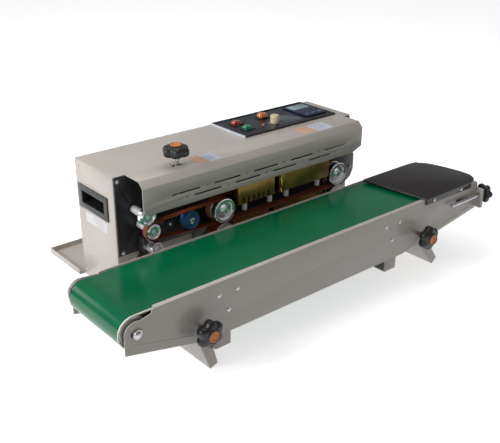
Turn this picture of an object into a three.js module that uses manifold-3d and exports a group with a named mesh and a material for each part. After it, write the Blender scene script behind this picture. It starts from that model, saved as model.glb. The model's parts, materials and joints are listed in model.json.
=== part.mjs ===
// Continuous band sealer: sealing head, belt conveyor, folding legs and drive.
// Millimetres, +Z up, +X along the conveyor from its head roller to its loading end,
// +Y from the operator towards the back. The group is centred over its footprint at the end.
import * as THREE from 'three';
import * as BufferGeometryUtils from 'three/addons/utils/BufferGeometryUtils.js';
import Module from 'manifold-3d';

const wasm = await Module();
wasm.setup();

// ---------------------------------------------------------------- driving dimensions
const SHEET = 1.5;                // panel and plate thickness
const GAP = 0.3;                  // air between touching pieces
const ROUND = 24;                 // segments of a wheel
const FINE = 16;                  // segments of a small round

const CONVEYOR = { length: 840, width: 151.5, top: 151.5, backTop: 149, lipWidth: 9 };
const LIP = { start: 54, end: 671 };  // the in-turned lip along the front plate
const ROLLER = { radius: 25, z: 120.8, headX: 20.4, tailX: 790, y0: 6.5, y1: 145 };
const BELT = { thickness: 1.8, y0: 5.5, y1: 146 };

const CABINET = { x0: 127.5, x1: 690, y0: 225, y1: 350, z0: 36.5, top: 264.9 };
const HOOD = { x0: 150, x1: 671, front: 170.7, bend: 11, bottom: 206 };
const PLATE = { y0: 221.4, y1: 224.7, z0: 120, z1: 262, lowZ: 92 };

const NIP_Z = 145;                // where upper and lower bands meet
const WHEEL = { leftX: 321, rightX: 610, rise: 23.5, faceY: 173, flange: 23 };
const GUIDE = { thickness: 1.8, y0: 175.8, y1: 187 };       // toothed guide belt
const SEAL = { thickness: 0.8, y0: 189, y1: 202 };          // sealing band
const BAND_OUTER = WHEEL.rise - GAP / 2;
const NOSE = { x: 171, z: 171.5, radius: 13.4 };
const TENSION = { x: 161, z: 201.5, core: 12.4 };
const SUPPORT = { x: 176, z: 138.5, radius: 11.8 };
const PRESS = { x: 250, z: 169.5, radius: 16.8, pivotX: 204.4, pivotZ: 176, knobX: 242, knobY: 206 };
const SHAFT = 6;

const WHEEL_SPROCKET = 17.5;
const MOTOR = { x: 172, z: 102, sprocket: WHEEL_SPROCKET * 8 / 7 };  // gear motor's output shaft
const CONVEYOR_SPROCKET = 19;
const GEAR = { teeth: 24, pitch: WHEEL.rise, y0: 231, y1: 241 };
const CHAIN = { thickness: 3, headY: 247, conveyorY: 156.5, width: 6 };

const LEG = {
  left: { x: 133.4, z: 85.6, tilt: 18.2, length: 86.5 },
  right: { x: 659, z: 84.8, tilt: 39, length: 101 },
};
const FOOT = { left: 192, right: 614, width: 32, saddle: 26, front: 39, back: 460, beam: 36.2 };

// ---------------------------------------------------------------- materials
const paint = (color, roughness, metalness = 0) =>
  new THREE.MeshStandardMaterial({ color, roughness, metalness });
const MATERIAL = {
  paint: paint(0xc9c4b8, 0.45),
  blackSteel: paint(0x17171a, 0.4, 0.3),
  belt: paint(0x0b6b40, 0.2),
  band: paint(0x7a3420, 0.6),
  chrome: paint(0xd8dade, 0.15, 1),
  steel: paint(0x9a9ca0, 0.35, 1),
  brass: paint(0x8f7a38, 0.4, 1),
  blue: paint(0x1f5f9c, 0.4),
  black: paint(0x141416, 0.5),
  cream: paint(0xe8dcc4, 0.45),
  red: paint(0xb8202a, 0.3),
  green: paint(0x0f8f58, 0.3),
  orange: paint(0xe07c1e, 0.35),
  panel: paint(0x1c2838, 0.4, 0.2),
  controller: paint(0x14306a, 0.4),
  table: paint(0x221b19, 0.35),
  board: paint(0x1c5a34, 0.5),
};

// ---------------------------------------------------------------- shape helpers
function box(x0, x1, y0, y1, z0, z1) {
  const geometry = new THREE.BoxGeometry(x1 - x0, y1 - y0, z1 - z0);
  return geometry.translate((x0 + x1) / 2, (y0 + y1) / 2, (z0 + z1) / 2);
}

// An outline in X and Z, thick along Y.
function alongY(shape, y0, y1, curveSegments = 8) {
  const geometry = new THREE.ExtrudeGeometry(shape, {
    depth: y1 - y0, bevelEnabled: false, curveSegments });
  return geometry.rotateX(Math.PI / 2).translate(0, y1, 0);
}

// An outline in Y and Z, long along X.
function alongX(shape, x0, x1) {
  const geometry = new THREE.ExtrudeGeometry(shape, {
    depth: x1 - x0, bevelEnabled: false, curveSegments: 4 });
  const turn = new THREE.Matrix4().makeBasis(
    new THREE.Vector3(0, 1, 0), new THREE.Vector3(0, 0, 1), new THREE.Vector3(1, 0, 0));
  return geometry.applyMatrix4(turn).translate(x0, 0, 0);
}

// An outline in X and Y, thick along Z.
function alongZ(shape, z0, z1, curveSegments = 8) {
  const geometry = new THREE.ExtrudeGeometry(shape, {
    depth: z1 - z0, bevelEnabled: false, curveSegments });
  return geometry.translate(0, 0, z0);
}

function outline(points) {
  return new THREE.Shape(points.map(([a, b]) => new THREE.Vector2(a, b)));
}

function circle(x, z, radius) {
  const shape = new THREE.Shape();
  shape.absarc(x, z, radius, 0, 2 * Math.PI, false);
  return shape;
}

// A turned piece about an axis along Y: rings are [radius, y] from axis to axis.
function turned(x, z, rings, segments = ROUND) {
  const profile = rings.map(([radius, y]) => new THREE.Vector2(radius, y));
  return new THREE.LatheGeometry(profile, segments).translate(x, 0, z);
}

function rodY(x, z, radius, y0, y1, segments = FINE) {
  const rod = new THREE.CylinderGeometry(radius, radius, y1 - y0, segments);
  return rod.translate(x, (y0 + y1) / 2, z);
}

function rodX(y, z, radius, x0, x1, segments = FINE) {
  const rod = new THREE.CylinderGeometry(radius, radius, x1 - x0, segments);
  return rod.rotateZ(Math.PI / 2).translate((x0 + x1) / 2, y, z);
}

function rodZ(x, y, radius, z0, z1, segments = FINE) {
  const rod = new THREE.CylinderGeometry(radius, radius, z1 - z0, segments);
  return rod.rotateX(Math.PI / 2).translate(x, y, (z0 + z1) / 2);
}

// ---------------------------------------------------------------- joins and cuts
function toSolid(geometry) {
  const bare = geometry.index ? geometry.toNonIndexed() : geometry.clone();
  bare.deleteAttribute('normal');
  bare.deleteAttribute('uv');
  const merged = BufferGeometryUtils.mergeVertices(bare, 1e-3);
  return new wasm.Manifold(new wasm.Mesh({
    numProp: 3,
    vertProperties: new Float32Array(merged.attributes.position.array),
    triVerts: new Uint32Array(merged.index.array),
  }));
}

function toGeometry(solid) {
  const { vertProperties, triVerts } = solid.getMesh();
  const geometry = new THREE.BufferGeometry();
  geometry.setAttribute('position', new THREE.BufferAttribute(vertProperties, 3));
  geometry.setIndex(new THREE.BufferAttribute(triVerts, 1));
  geometry.computeVertexNormals();
  return geometry;
}

const join = (...pieces) =>
  toGeometry(pieces.map(toSolid).reduce((whole, piece) => whole.add(piece)));
const cut = (body, ...tools) =>
  toGeometry(tools.map(toSolid).reduce((rest, tool) => rest.subtract(tool), toSolid(body)));

const sealer = new THREE.Group();
sealer.name = 'continuous_band_sealer';

function add(name, geometry, material, parent = sealer) {
  const mesh = new THREE.Mesh(geometry, material);
  mesh.name = name;
  parent.add(mesh);
  return mesh;
}

// A closed loop round circles listed counter-clockwise, each grown by the same amount.
function loop(circles, grow) {
  const path = new THREE.Path();
  const normals = circles.map((from, i) => {
    const to = circles[(i + 1) % circles.length];
    const distance = Math.hypot(to.x - from.x, to.z - from.z);
    const heading = Math.atan2(to.z - from.z, to.x - from.x);
    return heading - Math.acos((from.radius - to.radius) / distance);
  });
  circles.forEach((wheel, i) => {
    const start = normals[(i + circles.length - 1) % circles.length];
    const sweep = THREE.MathUtils.euclideanModulo(normals[i] - start, 2 * Math.PI);
    path.absarc(wheel.x, wheel.z, wheel.radius + grow, start, start + sweep, false);
  });
  return path;
}

function band(circles, thickness, y0, y1, curveSegments = 6) {
  const shape = new THREE.Shape(loop(circles, thickness).getPoints(curveSegments));
  shape.holes.push(new THREE.Path(loop(circles, 0).getPoints(curveSegments).reverse()));
  return alongY(shape, y0, y1, curveSegments);
}

// ---------------------------------------------------------------- conveyor
const TENSIONER = { y: -8.5, z: 122 };

function sidePlate(y0, top, extras) {
  const shape = new THREE.Shape();
  shape.moveTo(0, 90.5);
  shape.lineTo(149, 56);
  shape.lineTo(615, 56);
  shape.lineTo(CONVEYOR.length, 90.5);
  shape.lineTo(CONVEYOR.length, 138);
  shape.quadraticCurveTo(CONVEYOR.length, top - 2, 828, top);
  shape.lineTo(LIP.start - 2, top);
  shape.bezierCurveTo(46, top, 50, 144.5, 44, 143.5);
  shape.lineTo(28, 140.2);
  shape.absarc(ROLLER.headX, ROLLER.z, 20.4, 1.2, Math.PI, false);
  const plate = alongY(shape, y0, y0 + SHEET, 5);
  const slot = (x, half) => box(x - half, x + half, y0 - 1, y0 + SHEET + 1,
    ROLLER.z - 4.3, ROLLER.z + 4.3);
  const pivots = Object.values(LEG).map(({ x, z }) =>
    rodY(x, z, 4.4, y0 - 1, y0 + SHEET + 1, 12));
  return cut(join(plate, ...extras), slot(ROLLER.headX, 9), slot(ROLLER.tailX, 20), ...pivots);
}

function addConveyor() {
  const backY = CONVEYOR.width - SHEET;
  const lip = box(LIP.start, LIP.end, 0, CONVEYOR.lipWidth, CONVEYOR.top - SHEET, CONVEYOR.top);
  const tab = box(833.5, CONVEYOR.length, -17, SHEET, 96, 136);
  const tabHole = rodX(TENSIONER.y, TENSIONER.z, 4.3, 830, 845);
  add('conveyor_front_plate', cut(sidePlate(0, CONVEYOR.top, [lip, tab]), tabHole),
    MATERIAL.paint);
  add('conveyor_back_plate', sidePlate(backY, CONVEYOR.backTop, []), MATERIAL.paint);
  const bedTop = ROLLER.z + ROLLER.radius - 0.2;
  const inner = SHEET + GAP;
  const outer = backY - GAP;
  const bed = outline([[inner, 124], [inner + SHEET, 124], [inner + SHEET, bedTop - SHEET],
    [outer - SHEET, bedTop - SHEET], [outer - SHEET, 124], [outer, 124], [outer, bedTop],
    [inner, bedTop]]);
  add('slider_bed', alongX(bed, 52, 752), MATERIAL.steel);
  const ends = [ROLLER.headX, ROLLER.tailX].map((x) => ({ x, z: ROLLER.z, radius: 25.3 }));
  add('conveyor_belt', band(ends, BELT.thickness, BELT.y0, BELT.y1, 10), MATERIAL.belt);
}

function rollerShape(x, tailY) {
  return turned(x, ROLLER.z, [[0, -3.5], [4, -3.5], [4, ROLLER.y0], [ROLLER.radius, ROLLER.y0],
    [ROLLER.radius, ROLLER.y1], [4, ROLLER.y1], [4, tailY], [0, tailY]]);
}

function addRollers() {
  const sprocket = turned(ROLLER.headX, ROLLER.z, [[0, CHAIN.conveyorY],
    [CONVEYOR_SPROCKET, CHAIN.conveyorY + 0.4],
    [CONVEYOR_SPROCKET, CHAIN.conveyorY + CHAIN.width - 0.4],
    [0, CHAIN.conveyorY + CHAIN.width]]);
  add('drive_roller', join(rollerShape(ROLLER.headX, 166), sprocket), MATERIAL.steel);
  add('tail_roller', rollerShape(ROLLER.tailX, 157), MATERIAL.steel);
}

function addEndTable() {
  const shape = new THREE.Shape();
  shape.moveTo(668, -3.3);
  shape.lineTo(812, -3.3);
  shape.quadraticCurveTo(833, -2, 843, 22);
  shape.quadraticCurveTo(848, 45, 838, 90);
  shape.quadraticCurveTo(833, 118, 822, 130);
  shape.quadraticCurveTo(812, 143, 795, 144);
  shape.lineTo(655, 144);
  shape.quadraticCurveTo(649, 143, 650, 136);
  const top = alongZ(shape, CONVEYOR.top + GAP, CONVEYOR.top + 3.6, 5);
  const skirt = box(671, 812, -3.3, -GAP, 141.5, CONVEYOR.top + 1.5);
  add('end_table', join(top, skirt), MATERIAL.table);
}

// ---------------------------------------------------------------- knobs and legs
function lobedRing(radius, lobes, depth) {
  const points = [];
  const count = lobes * 4;
  for (let i = 0; i < count; i += 1) {
    const angle = (2 * Math.PI * i) / count;
    const reach = radius - depth * (0.5 - 0.5 * Math.cos(lobes * angle));
    points.push([reach * Math.cos(angle), reach * Math.sin(angle)]);
  }
  return outline(points);
}

// A star knob on +Z with its stem below: height and stem are measured from its underside.
function starKnob(radius, height, stemRadius, stem) {
  const star = alongZ(lobedRing(radius, 6, 5), 0, height * 0.75);
  const cap = rodZ(0, 0, radius * 0.48, height * 0.5, height, FINE);
  const collar = rodZ(0, 0, radius * 0.4, -4, 2, FINE);
  const screw = rodZ(0, 0, stemRadius, -stem, 1, 12);
  return join(star, cap, collar, screw);
}

// A sheet-metal trough: two cheeks inside the side plates and a web across them. It is drawn
// hanging straight down from its pivot.
function legShape(length) {
  const side = outline([[-12, -10], [-9, -length], [7, -length], [12, 0]]);
  side.absarc(0, 0, 12, 0, Math.PI, false);
  const y0 = SHEET + GAP;
  const y1 = CONVEYOR.width - SHEET - GAP;
  const front = alongY(side, y0, y0 + SHEET, 5);
  const back = alongY(side, y1 - SHEET, y1, 5);
  const web = alongY(outline([[-11.8, -14], [-9, -length], [-7.5, -length], [-10.3, -14]]),
    y0, y1);
  return cut(join(front, back, web), rodY(0, 0, 4.4, -5, 160, 12));
}

function addLegs() {
  for (const [side, { x, z, tilt, length }] of Object.entries(LEG)) {
    const leg = add(`${side}_leg`, legShape(length), MATERIAL.paint);
    leg.position.set(x, 0, z);
    leg.rotation.y = -THREE.MathUtils.degToRad(tilt);
    const knob = add(`${side}_leg_knob`, starKnob(24, 21, 4, 26), MATERIAL.black);
    knob.position.set(x, -15, z);
    knob.rotation.x = Math.PI / 2;
  }
}

function addTensionKnob() {
  const knob = add('tension_knob', starKnob(20, 15, 3.6, 100), MATERIAL.black);
  knob.position.set(846, TENSIONER.y, TENSIONER.z);
  knob.rotation.y = Math.PI / 2;
}

// ---------------------------------------------------------------- stand and cabinet
// Each foot is a trough open to one side: a beam under the cabinet, a post in front and a
// saddle between the conveyor's side plates.
function addBase() {
  const inner = SHEET + GAP;
  const outer = CONVEYOR.width - SHEET - GAP;
  const { front, back, beam, width, saddle } = FOOT;
  for (const side of ['left', 'right']) {
    const x0 = FOOT[side];
    const open = [x0 - 1, x0 + width - 2.5];
    const foot = join(box(x0, x0 + width, front, back, 0, beam),
      box(x0, x0 + width, front, 146, beam - 1, 60),
      box(x0, x0 + saddle, inner, outer, 60 - GAP, 88));
    add(`base_foot_${side}`, cut(foot, box(...open, front + 2.5, back - 2.5, 2.5, beam - 2.5),
      box(...open, front + 2.5, 143.5, 2.5, 57.5)), MATERIAL.paint);
  }
}

function addRearTray() {
  const z0 = CABINET.z0;
  const body = box(117, 700, CABINET.y1 + GAP, 466, z0, z0 + 11);
  const hollow = box(117 + SHEET, 700 - SHEET, CABINET.y1 - 5, 466 - SHEET, z0 + SHEET, z0 + 20);
  add('rear_tray', cut(body, hollow), MATERIAL.paint);
}

const HANDLE = { y0: 249, y1: 339, z0: 181, z1: 217, depth: 24, rim: 4 };
const FAN = { x: 420, z: 190, radius: 38 };
const INLET = { x0: 600, x1: 627, z0: 70, z1: 90 };

function addCabinet() {
  const { x0, x1, y0, y1, z0, top } = CABINET;
  const ceiling = top - SHEET - GAP;
  const outer = box(x0, x1, y0, y1 - SHEET - GAP, z0, ceiling);
  const hollow = box(x0 + SHEET, x1 - SHEET, y0 + SHEET, y1 + 5, z0 + SHEET, top + 5);
  const grip = (x) => box(x - 5, x + 5, HANDLE.y0, HANDLE.y1, HANDLE.z0, HANDLE.z1);
  const window = box(145, 640, y0 - 1, y0 + SHEET + 1, 136, 250);
  const lowWindow = box(290, 632, y0 - 1, y0 + SHEET + 1, 104, 137);
  const shaftHole = rodY(MOTOR.x, MOTOR.z, 8, y0 - 5, y0 + 5);
  add('cabinet_shell', cut(outer, hollow, grip(x0), grip(x1), window, lowWindow, shaftHole),
    MATERIAL.paint);
  const sheet = box(x0, x1, y1 - SHEET, y1, z0 + 1, ceiling);
  const fanHole = rodY(FAN.x, FAN.z, FAN.radius, y1 - 5, y1 + 5);
  const inletHole = box(INLET.x0 - GAP, INLET.x1 + GAP, y1 - 5, y1 + 5,
    INLET.z0 - GAP, INLET.z1 + GAP);
  const vents = [0, 1, 2, 3, 4, 5].map((i) =>
    box(200, 290, y1 - 5, y1 + 5, 160 + 10 * i, 163.5 + 10 * i));
  add('rear_cover', cut(sheet, fanHole, inletHole, ...vents), MATERIAL.paint);
}

function addHandleCups() {
  for (const [side, x, way] of [['left', CABINET.x0, 1], ['right', CABINET.x1, -1]]) {
    const span = (a, b) => [Math.min(x + way * a, x + way * b), Math.max(x + way * a, x + way * b)];
    const rim = box(...span(-2.3, -GAP), HANDLE.y0 - HANDLE.rim, HANDLE.y1 + HANDLE.rim,
      HANDLE.z0 - HANDLE.rim, HANDLE.z1 + HANDLE.rim);
    const cup = box(...span(-1, HANDLE.depth), HANDLE.y0 + GAP, HANDLE.y1 - GAP,
      HANDLE.z0 + GAP, HANDLE.z1 - GAP);
    const hollow = box(...span(-9, HANDLE.depth - 2), HANDLE.y0 + 8, HANDLE.y1 - 8,
      HANDLE.z0 + 7, HANDLE.z1 - 7);
    add(`handle_cup_${side}`, cut(join(rim, cup), hollow), MATERIAL.black);
  }
}

// The hood covers the cabinet's top and reaches forward over the bands.
const PANEL = { x0: 427, x1: 666, y0: 242, y1: 348, z: CABINET.top + GAP, thick: 2.4 };

function hoodSlots() {
  const pitch = 89.6;
  const tools = [];
  const row = (z, slotStart, slots, dotStart, dots) => {
    for (let i = 0; i < slots; i += 1) {
      const x = slotStart + pitch * i;
      tools.push(box(x, x + 58, HOOD.front - 5, HOOD.front + 5, z - 1.4, z + 1.4));
    }
    for (let i = 0; i < dots; i += 1) {
      tools.push(rodY(dotStart + pitch * i, z, 1.6, HOOD.front - 5, HOOD.front + 5, 6));
    }
  };
  row(229.3, 207, 5, 281.5, 4);
  row(218.4, 254, 4, 238, 5);
  return tools;
}

function addHood() {
  const { top, y0, y1, x0, x1 } = CABINET;
  const { front, bend, bottom } = HOOD;
  const profile = outline([[y1, top], [front + bend, top], [front, top - bend],
    [front, bottom], [front + SHEET, bottom], [front + SHEET, top - bend - 0.6],
    [front + bend + 0.6, top - SHEET], [y1, top - SHEET]]);
  const body = alongX(profile, HOOD.x0, HOOD.x1);
  const ends = box(x0, x1, y0 - 2, y1, top - SHEET, top);
  const corner = new THREE.Shape();
  corner.moveTo(HOOD.x0 - 1, bottom - 1);
  corner.lineTo(HOOD.x0 + 15, bottom - 1);
  corner.lineTo(HOOD.x0 + 15, bottom);
  corner.absarc(HOOD.x0 + 15, bottom + 15, 15, -Math.PI / 2, -Math.PI, true);
  corner.lineTo(HOOD.x0 - 1, bottom + 15);
  const rounded = alongY(corner, front - 3, front + 6, 5);
  const bevel = alongY(outline([[HOOD.x1 - 28, bottom - 1], [HOOD.x1 + 1, bottom - 1],
    [HOOD.x1 + 1, bottom + 10], [HOOD.x1, bottom + 10]]), front - 3, front + 6);
  const stemHole = box(PRESS.knobX - 9, PRESS.knobX + 9, PRESS.knobY - 4.5, PRESS.knobY + 4.5,
    top - 5, top + 5);
  const window = box(PANEL.x0 + 12, PANEL.x1 - 12, PANEL.y0 + 10, PANEL.y1 - 10,
    top - 5, top + 5);
  add('top_cover', cut(join(body, ends), rounded, bevel, stemHole, window, ...hoodSlots()),
    MATERIAL.paint);
}

// ---------------------------------------------------------------- control panel
const ROCKER = { halfX: 9, halfY: 7, pivot: 4.5 };
const SWITCHES = [
  { name: 'power_switch', x: 460, y: 312, material: 'red' },
  { name: 'heater_switch', x: 459, y: 276, material: 'green' },
  { name: 'fan_switch', x: 530, y: 314, material: 'orange' },
];
const SPEED = { x: 524, y: 270, radius: 9, height: 17 };
const CONTROLLER = { x0: 602, x1: 656, y0: 258, y1: 334, raise: 3 };
const KEYS = [612, 629, 646];

function addControlPanel() {
  const { x0, x1, y0, y1, z, thick } = PANEL;
  const plate = box(x0, x1, y0, y1, z, z + thick);
  const holes = SWITCHES.map(({ x, y }) => box(x - ROCKER.halfX - 1, x + ROCKER.halfX + 1,
    y - ROCKER.halfY - 0.6, y + ROCKER.halfY + 0.6, z - 2, z + 9));
  holes.push(rodZ(SPEED.x, SPEED.y, 4, z - 2, z + 9));
  const { x0: cx0, x1: cx1, y0: cy0, y1: cy1, raise } = CONTROLLER;
  holes.push(box(cx0 + 4, cx1 - 4, cy0 + 4, cy1 - 4, z - 2, z + 9));
  add('control_panel', cut(plate, ...holes), MATERIAL.panel);
  const face = box(cx0, cx1, cy0, cy1, z + thick + GAP, z + thick + raise);
  const stalk = box(cx0 + 5, cx1 - 5, cy0 + 5, cy1 - 5, z - 42, z + thick + 1);
  const keyholes = KEYS.map((x) => box(x - 4.5, x + 4.5, cy0 + 7, cy0 + 14,
    z + thick - 1.5, z + 20));
  add('temperature_controller', cut(join(face, stalk), ...keyholes), MATERIAL.controller);
  KEYS.forEach((x, i) => {
    add(`controller_key_${i + 1}`, box(x - 4, x + 4, cy0 + 7.5, cy0 + 13.5,
      z + thick - 0.4, z + thick + raise + 0.6), MATERIAL.steel);
  });
  const knob = rodZ(SPEED.x, SPEED.y, SPEED.radius, z + thick + GAP,
    z + thick + SPEED.height, 24);
  const spindle = rodZ(SPEED.x, SPEED.y, 3, z - 12, z + thick + 2, 12);
  add('speed_knob', join(knob, spindle), MATERIAL.cream);
}

function addSwitches() {
  for (const { name, x, y, material } of SWITCHES) {
    const rocker = new THREE.Shape();
    rocker.moveTo(-ROCKER.halfX, -6);
    rocker.lineTo(ROCKER.halfX, -6);
    rocker.lineTo(ROCKER.halfX, 4.6);
    rocker.quadraticCurveTo(0, 0.8, -ROCKER.halfX, 4.6);
    const mesh = add(name, alongY(rocker, -ROCKER.halfY, ROCKER.halfY, 4),
      MATERIAL[material]);
    mesh.position.set(x, y, PANEL.z + PANEL.thick);
    mesh.rotation.y = THREE.MathUtils.degToRad(8);
  }
}

function addPowerInlet() {
  const body = box(INLET.x0, INLET.x1, CABINET.y1 - 24, CABINET.y1 + 1, INLET.z0, INLET.z1);
  const flange = box(INLET.x0 - 4, INLET.x1 + 4, CABINET.y1 + GAP, CABINET.y1 + 2.6,
    INLET.z0 - 3, INLET.z1 + 3);
  const socket = box(INLET.x0 + 3, INLET.x1 - 3, CABINET.y1 - 14, CABINET.y1 + 9,
    INLET.z0 + 3, INLET.z1 - 3);
  add('power_inlet', cut(join(body, flange), socket), MATERIAL.black);
}

// ---------------------------------------------------------------- sealing head
const UPPER_Z = NIP_Z + WHEEL.rise;
const LOWER_Z = NIP_Z - WHEEL.rise;

function addMountingPlate() {
  const shape = outline([[128, PLATE.z0], [285, PLATE.z0], [285, PLATE.lowZ],
    [676, PLATE.lowZ], [680, PLATE.z0 - 4], [700, PLATE.z0 + 8], [707, PLATE.z0 + 22],
    [707, 176], [688, 200], [688, PLATE.z1], [128, PLATE.z1]]);
  const plate = alongY(shape, PLATE.y0, PLATE.y1);
  const bore = (x, z, radius = SHAFT + 0.4) => rodY(x, z, radius, PLATE.y0 - 5, PLATE.y1 + 5);
  const wheels = [WHEEL.leftX, WHEEL.rightX].flatMap((x) => [bore(x, UPPER_Z), bore(x, LOWER_Z)]);
  add('mounting_plate', cut(plate, ...wheels, bore(TENSION.x, TENSION.z, 4.4),
    bore(NOSE.x, NOSE.z, 4.4)), MATERIAL.blackSteel);
}

// A chromed band wheel with its shaft: a flange, a groove for the guide belt, then the
// seat of the sealing band.
function bandWheel(x, z, shaftEnd) {
  const guideSeat = BAND_OUTER - GUIDE.thickness - GAP;
  const sealSeat = BAND_OUTER - SEAL.thickness - GAP;
  const { faceY, flange } = WHEEL;
  return turned(x, z, [[0, faceY - 1.5], [7, faceY - 1.5], [7, faceY + 5], [15.5, faceY + 5],
    [17.5, faceY], [flange - 0.5, faceY], [flange, faceY + 0.5], [flange, GUIDE.y0 - 0.6],
    [guideSeat, GUIDE.y0 - 0.5], [guideSeat, GUIDE.y1 + 0.5], [sealSeat, GUIDE.y1 + 0.8],
    [sealSeat, SEAL.y1 + 1], [SHAFT, SEAL.y1 + 1], [SHAFT, shaftEnd], [0, shaftEnd]]);
}

function gearShape(x, z, phase) {
  const shape = new THREE.Shape();
  const step = (2 * Math.PI) / GEAR.teeth;
  for (let i = 0; i < GEAR.teeth; i += 1) {
    for (const [part, reach] of [[-0.30, -2.2], [-0.13, 1.6], [0.13, 1.6], [0.30, -2.2]]) {
      const angle = (i + part) * step + phase;
      const radius = GEAR.pitch + reach;
      const point = [x + radius * Math.cos(angle), z + radius * Math.sin(angle)];
      if (i === 0 && part < -0.2) shape.moveTo(...point);
      else shape.lineTo(...point);
    }
  }
  shape.holes.push(circle(x, z, SHAFT + GAP));
  return shape;
}

function addBandWheels() {
  add('upper_left_wheel', bandWheel(WHEEL.leftX, UPPER_Z, 244), MATERIAL.chrome);
  add('upper_right_wheel', bandWheel(WHEEL.rightX, UPPER_Z, 232), MATERIAL.chrome);
  add('lower_right_wheel', bandWheel(WHEEL.rightX, LOWER_Z, 232), MATERIAL.chrome);
  const sprocket = turned(WHEEL.leftX, LOWER_Z, [[0, CHAIN.headY],
    [WHEEL_SPROCKET, CHAIN.headY + 0.4], [WHEEL_SPROCKET, CHAIN.headY + CHAIN.width - 0.4],
    [0, CHAIN.headY + CHAIN.width]], 24);
  add('lower_left_wheel', join(bandWheel(WHEEL.leftX, LOWER_Z, 256), sprocket),
    MATERIAL.chrome);
  const down = -Math.PI / 2;
  const half = Math.PI / GEAR.teeth;
  add('upper_drive_gear', alongY(gearShape(WHEEL.leftX, UPPER_Z, down), GEAR.y0, GEAR.y1),
    MATERIAL.steel);
  add('lower_drive_gear',
    alongY(gearShape(WHEEL.leftX, LOWER_Z, -down + half), GEAR.y0, GEAR.y1), MATERIAL.steel);
}

function addBands() {
  const pair = (z, inner) => [WHEEL.leftX, WHEEL.rightX].map((x) => ({ x, z, radius: inner }));
  const sealInner = BAND_OUTER - SEAL.thickness;
  const guideInner = BAND_OUTER - GUIDE.thickness;
  add('upper_seal_band', band(pair(UPPER_Z, sealInner), SEAL.thickness, SEAL.y0, SEAL.y1),
    MATERIAL.band);
  add('lower_seal_band', band(pair(LOWER_Z, sealInner), SEAL.thickness, SEAL.y0, SEAL.y1),
    MATERIAL.band);
  add('lower_guide_belt', band(pair(LOWER_Z, guideInner), GUIDE.thickness, GUIDE.y0, GUIDE.y1),
    MATERIAL.band);
  const nose = { x: NOSE.x, z: NOSE.z, radius: NOSE.radius + GAP };
  const wheel = { x: WHEEL.leftX, z: UPPER_Z, radius: guideInner };
  add('upper_guide_belt', band([nose, wheel], GUIDE.thickness, GUIDE.y0, GUIDE.y1),
    MATERIAL.band);
}

function addGuideRollers() {
  const { y0, y1 } = GUIDE;
  const shaft = [[8, y1 + 3], [4, y1 + 10], [4, 232], [0, 232]];
  add('nose_pulley', turned(NOSE.x, NOSE.z, [[0, y0 - 2], [11, y0 - 2],
    [NOSE.radius, y0 - 0.5], [NOSE.radius, y1 + 2], ...shaft]), MATERIAL.chrome);
  const tyre = Math.hypot(NOSE.x - TENSION.x, NOSE.z - TENSION.z) - NOSE.radius
    - GUIDE.thickness - 2 * GAP;
  add('tension_pulley', turned(TENSION.x, TENSION.z, [[0, y0 - 2], [TENSION.core, y0 - 2],
    [tyre, y0], [tyre, y1 + 1], ...shaft]), MATERIAL.chrome);
  add('support_roller', turned(SUPPORT.x, SUPPORT.z, [[0, 172], [5, 172], [5, 173.5],
    [SUPPORT.radius - 1, 173.5], [SUPPORT.radius, 174.5], [SUPPORT.radius, 201],
    [5, 201], [5, 212], [0, 212]]), MATERIAL.chrome);
  const bracket = join(box(167, 205, 217.5, PLATE.y0 - GAP, 108, 152),
    box(167, 190, 203, 219, 124, 150));
  add('support_bracket', cut(bracket, rodY(SUPPORT.x, SUPPORT.z, 5.4, 195, 213.5)),
    MATERIAL.blackSteel);
}

function addPress() {
  const { x, z, radius, pivotX, pivotZ, knobX, knobY } = PRESS;
  add('press_wheel', turned(x, z, [[0, 173.5], [5, 173.5], [5, 175.5], [13, 176],
    [radius - 0.6, 176], [radius, 177], [radius, 190], [5, 190], [5, 196], [0, 196]]),
  MATERIAL.blue);
  const bar = outline([[pivotX - 7, pivotZ - 7], [pivotX + 7, pivotZ - 8], [x + 10, z - 9],
    [x + 12, z + 12], [knobX - 12, z + 15], [pivotX - 7, pivotZ + 7]]);
  const arm = join(alongY(bar, 192, 214), box(pivotX - 6, pivotX + 6, 176, 193,
    pivotZ - 6, pivotZ + 6));
  add('press_arm', cut(arm, rodY(x, z, 5.4, 185, 198)), MATERIAL.blackSteel);
  const knob = add('pressure_knob', starKnob(24, 20, 4, 94), MATERIAL.black);
  knob.position.set(knobX, knobY, 282);
}

// The upper blocks hang inside the upper band from a hanger by spring posts, and carry a front
// shield; the lower blocks stand inside the lower band on a foot fixed to the mounting plate.
const BLOCKS = [
  { kind: 'cooling', x0: 352, x1: 440, posts: [372, 433], fins: 6 },
  { kind: 'heating', x0: 452, x1: 584, posts: [475, 558], fins: 0 },
];
const HANGER = { z: 222, x0: 350, x1: 586, y0: 174 };
const POST_Y = 181;

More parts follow.
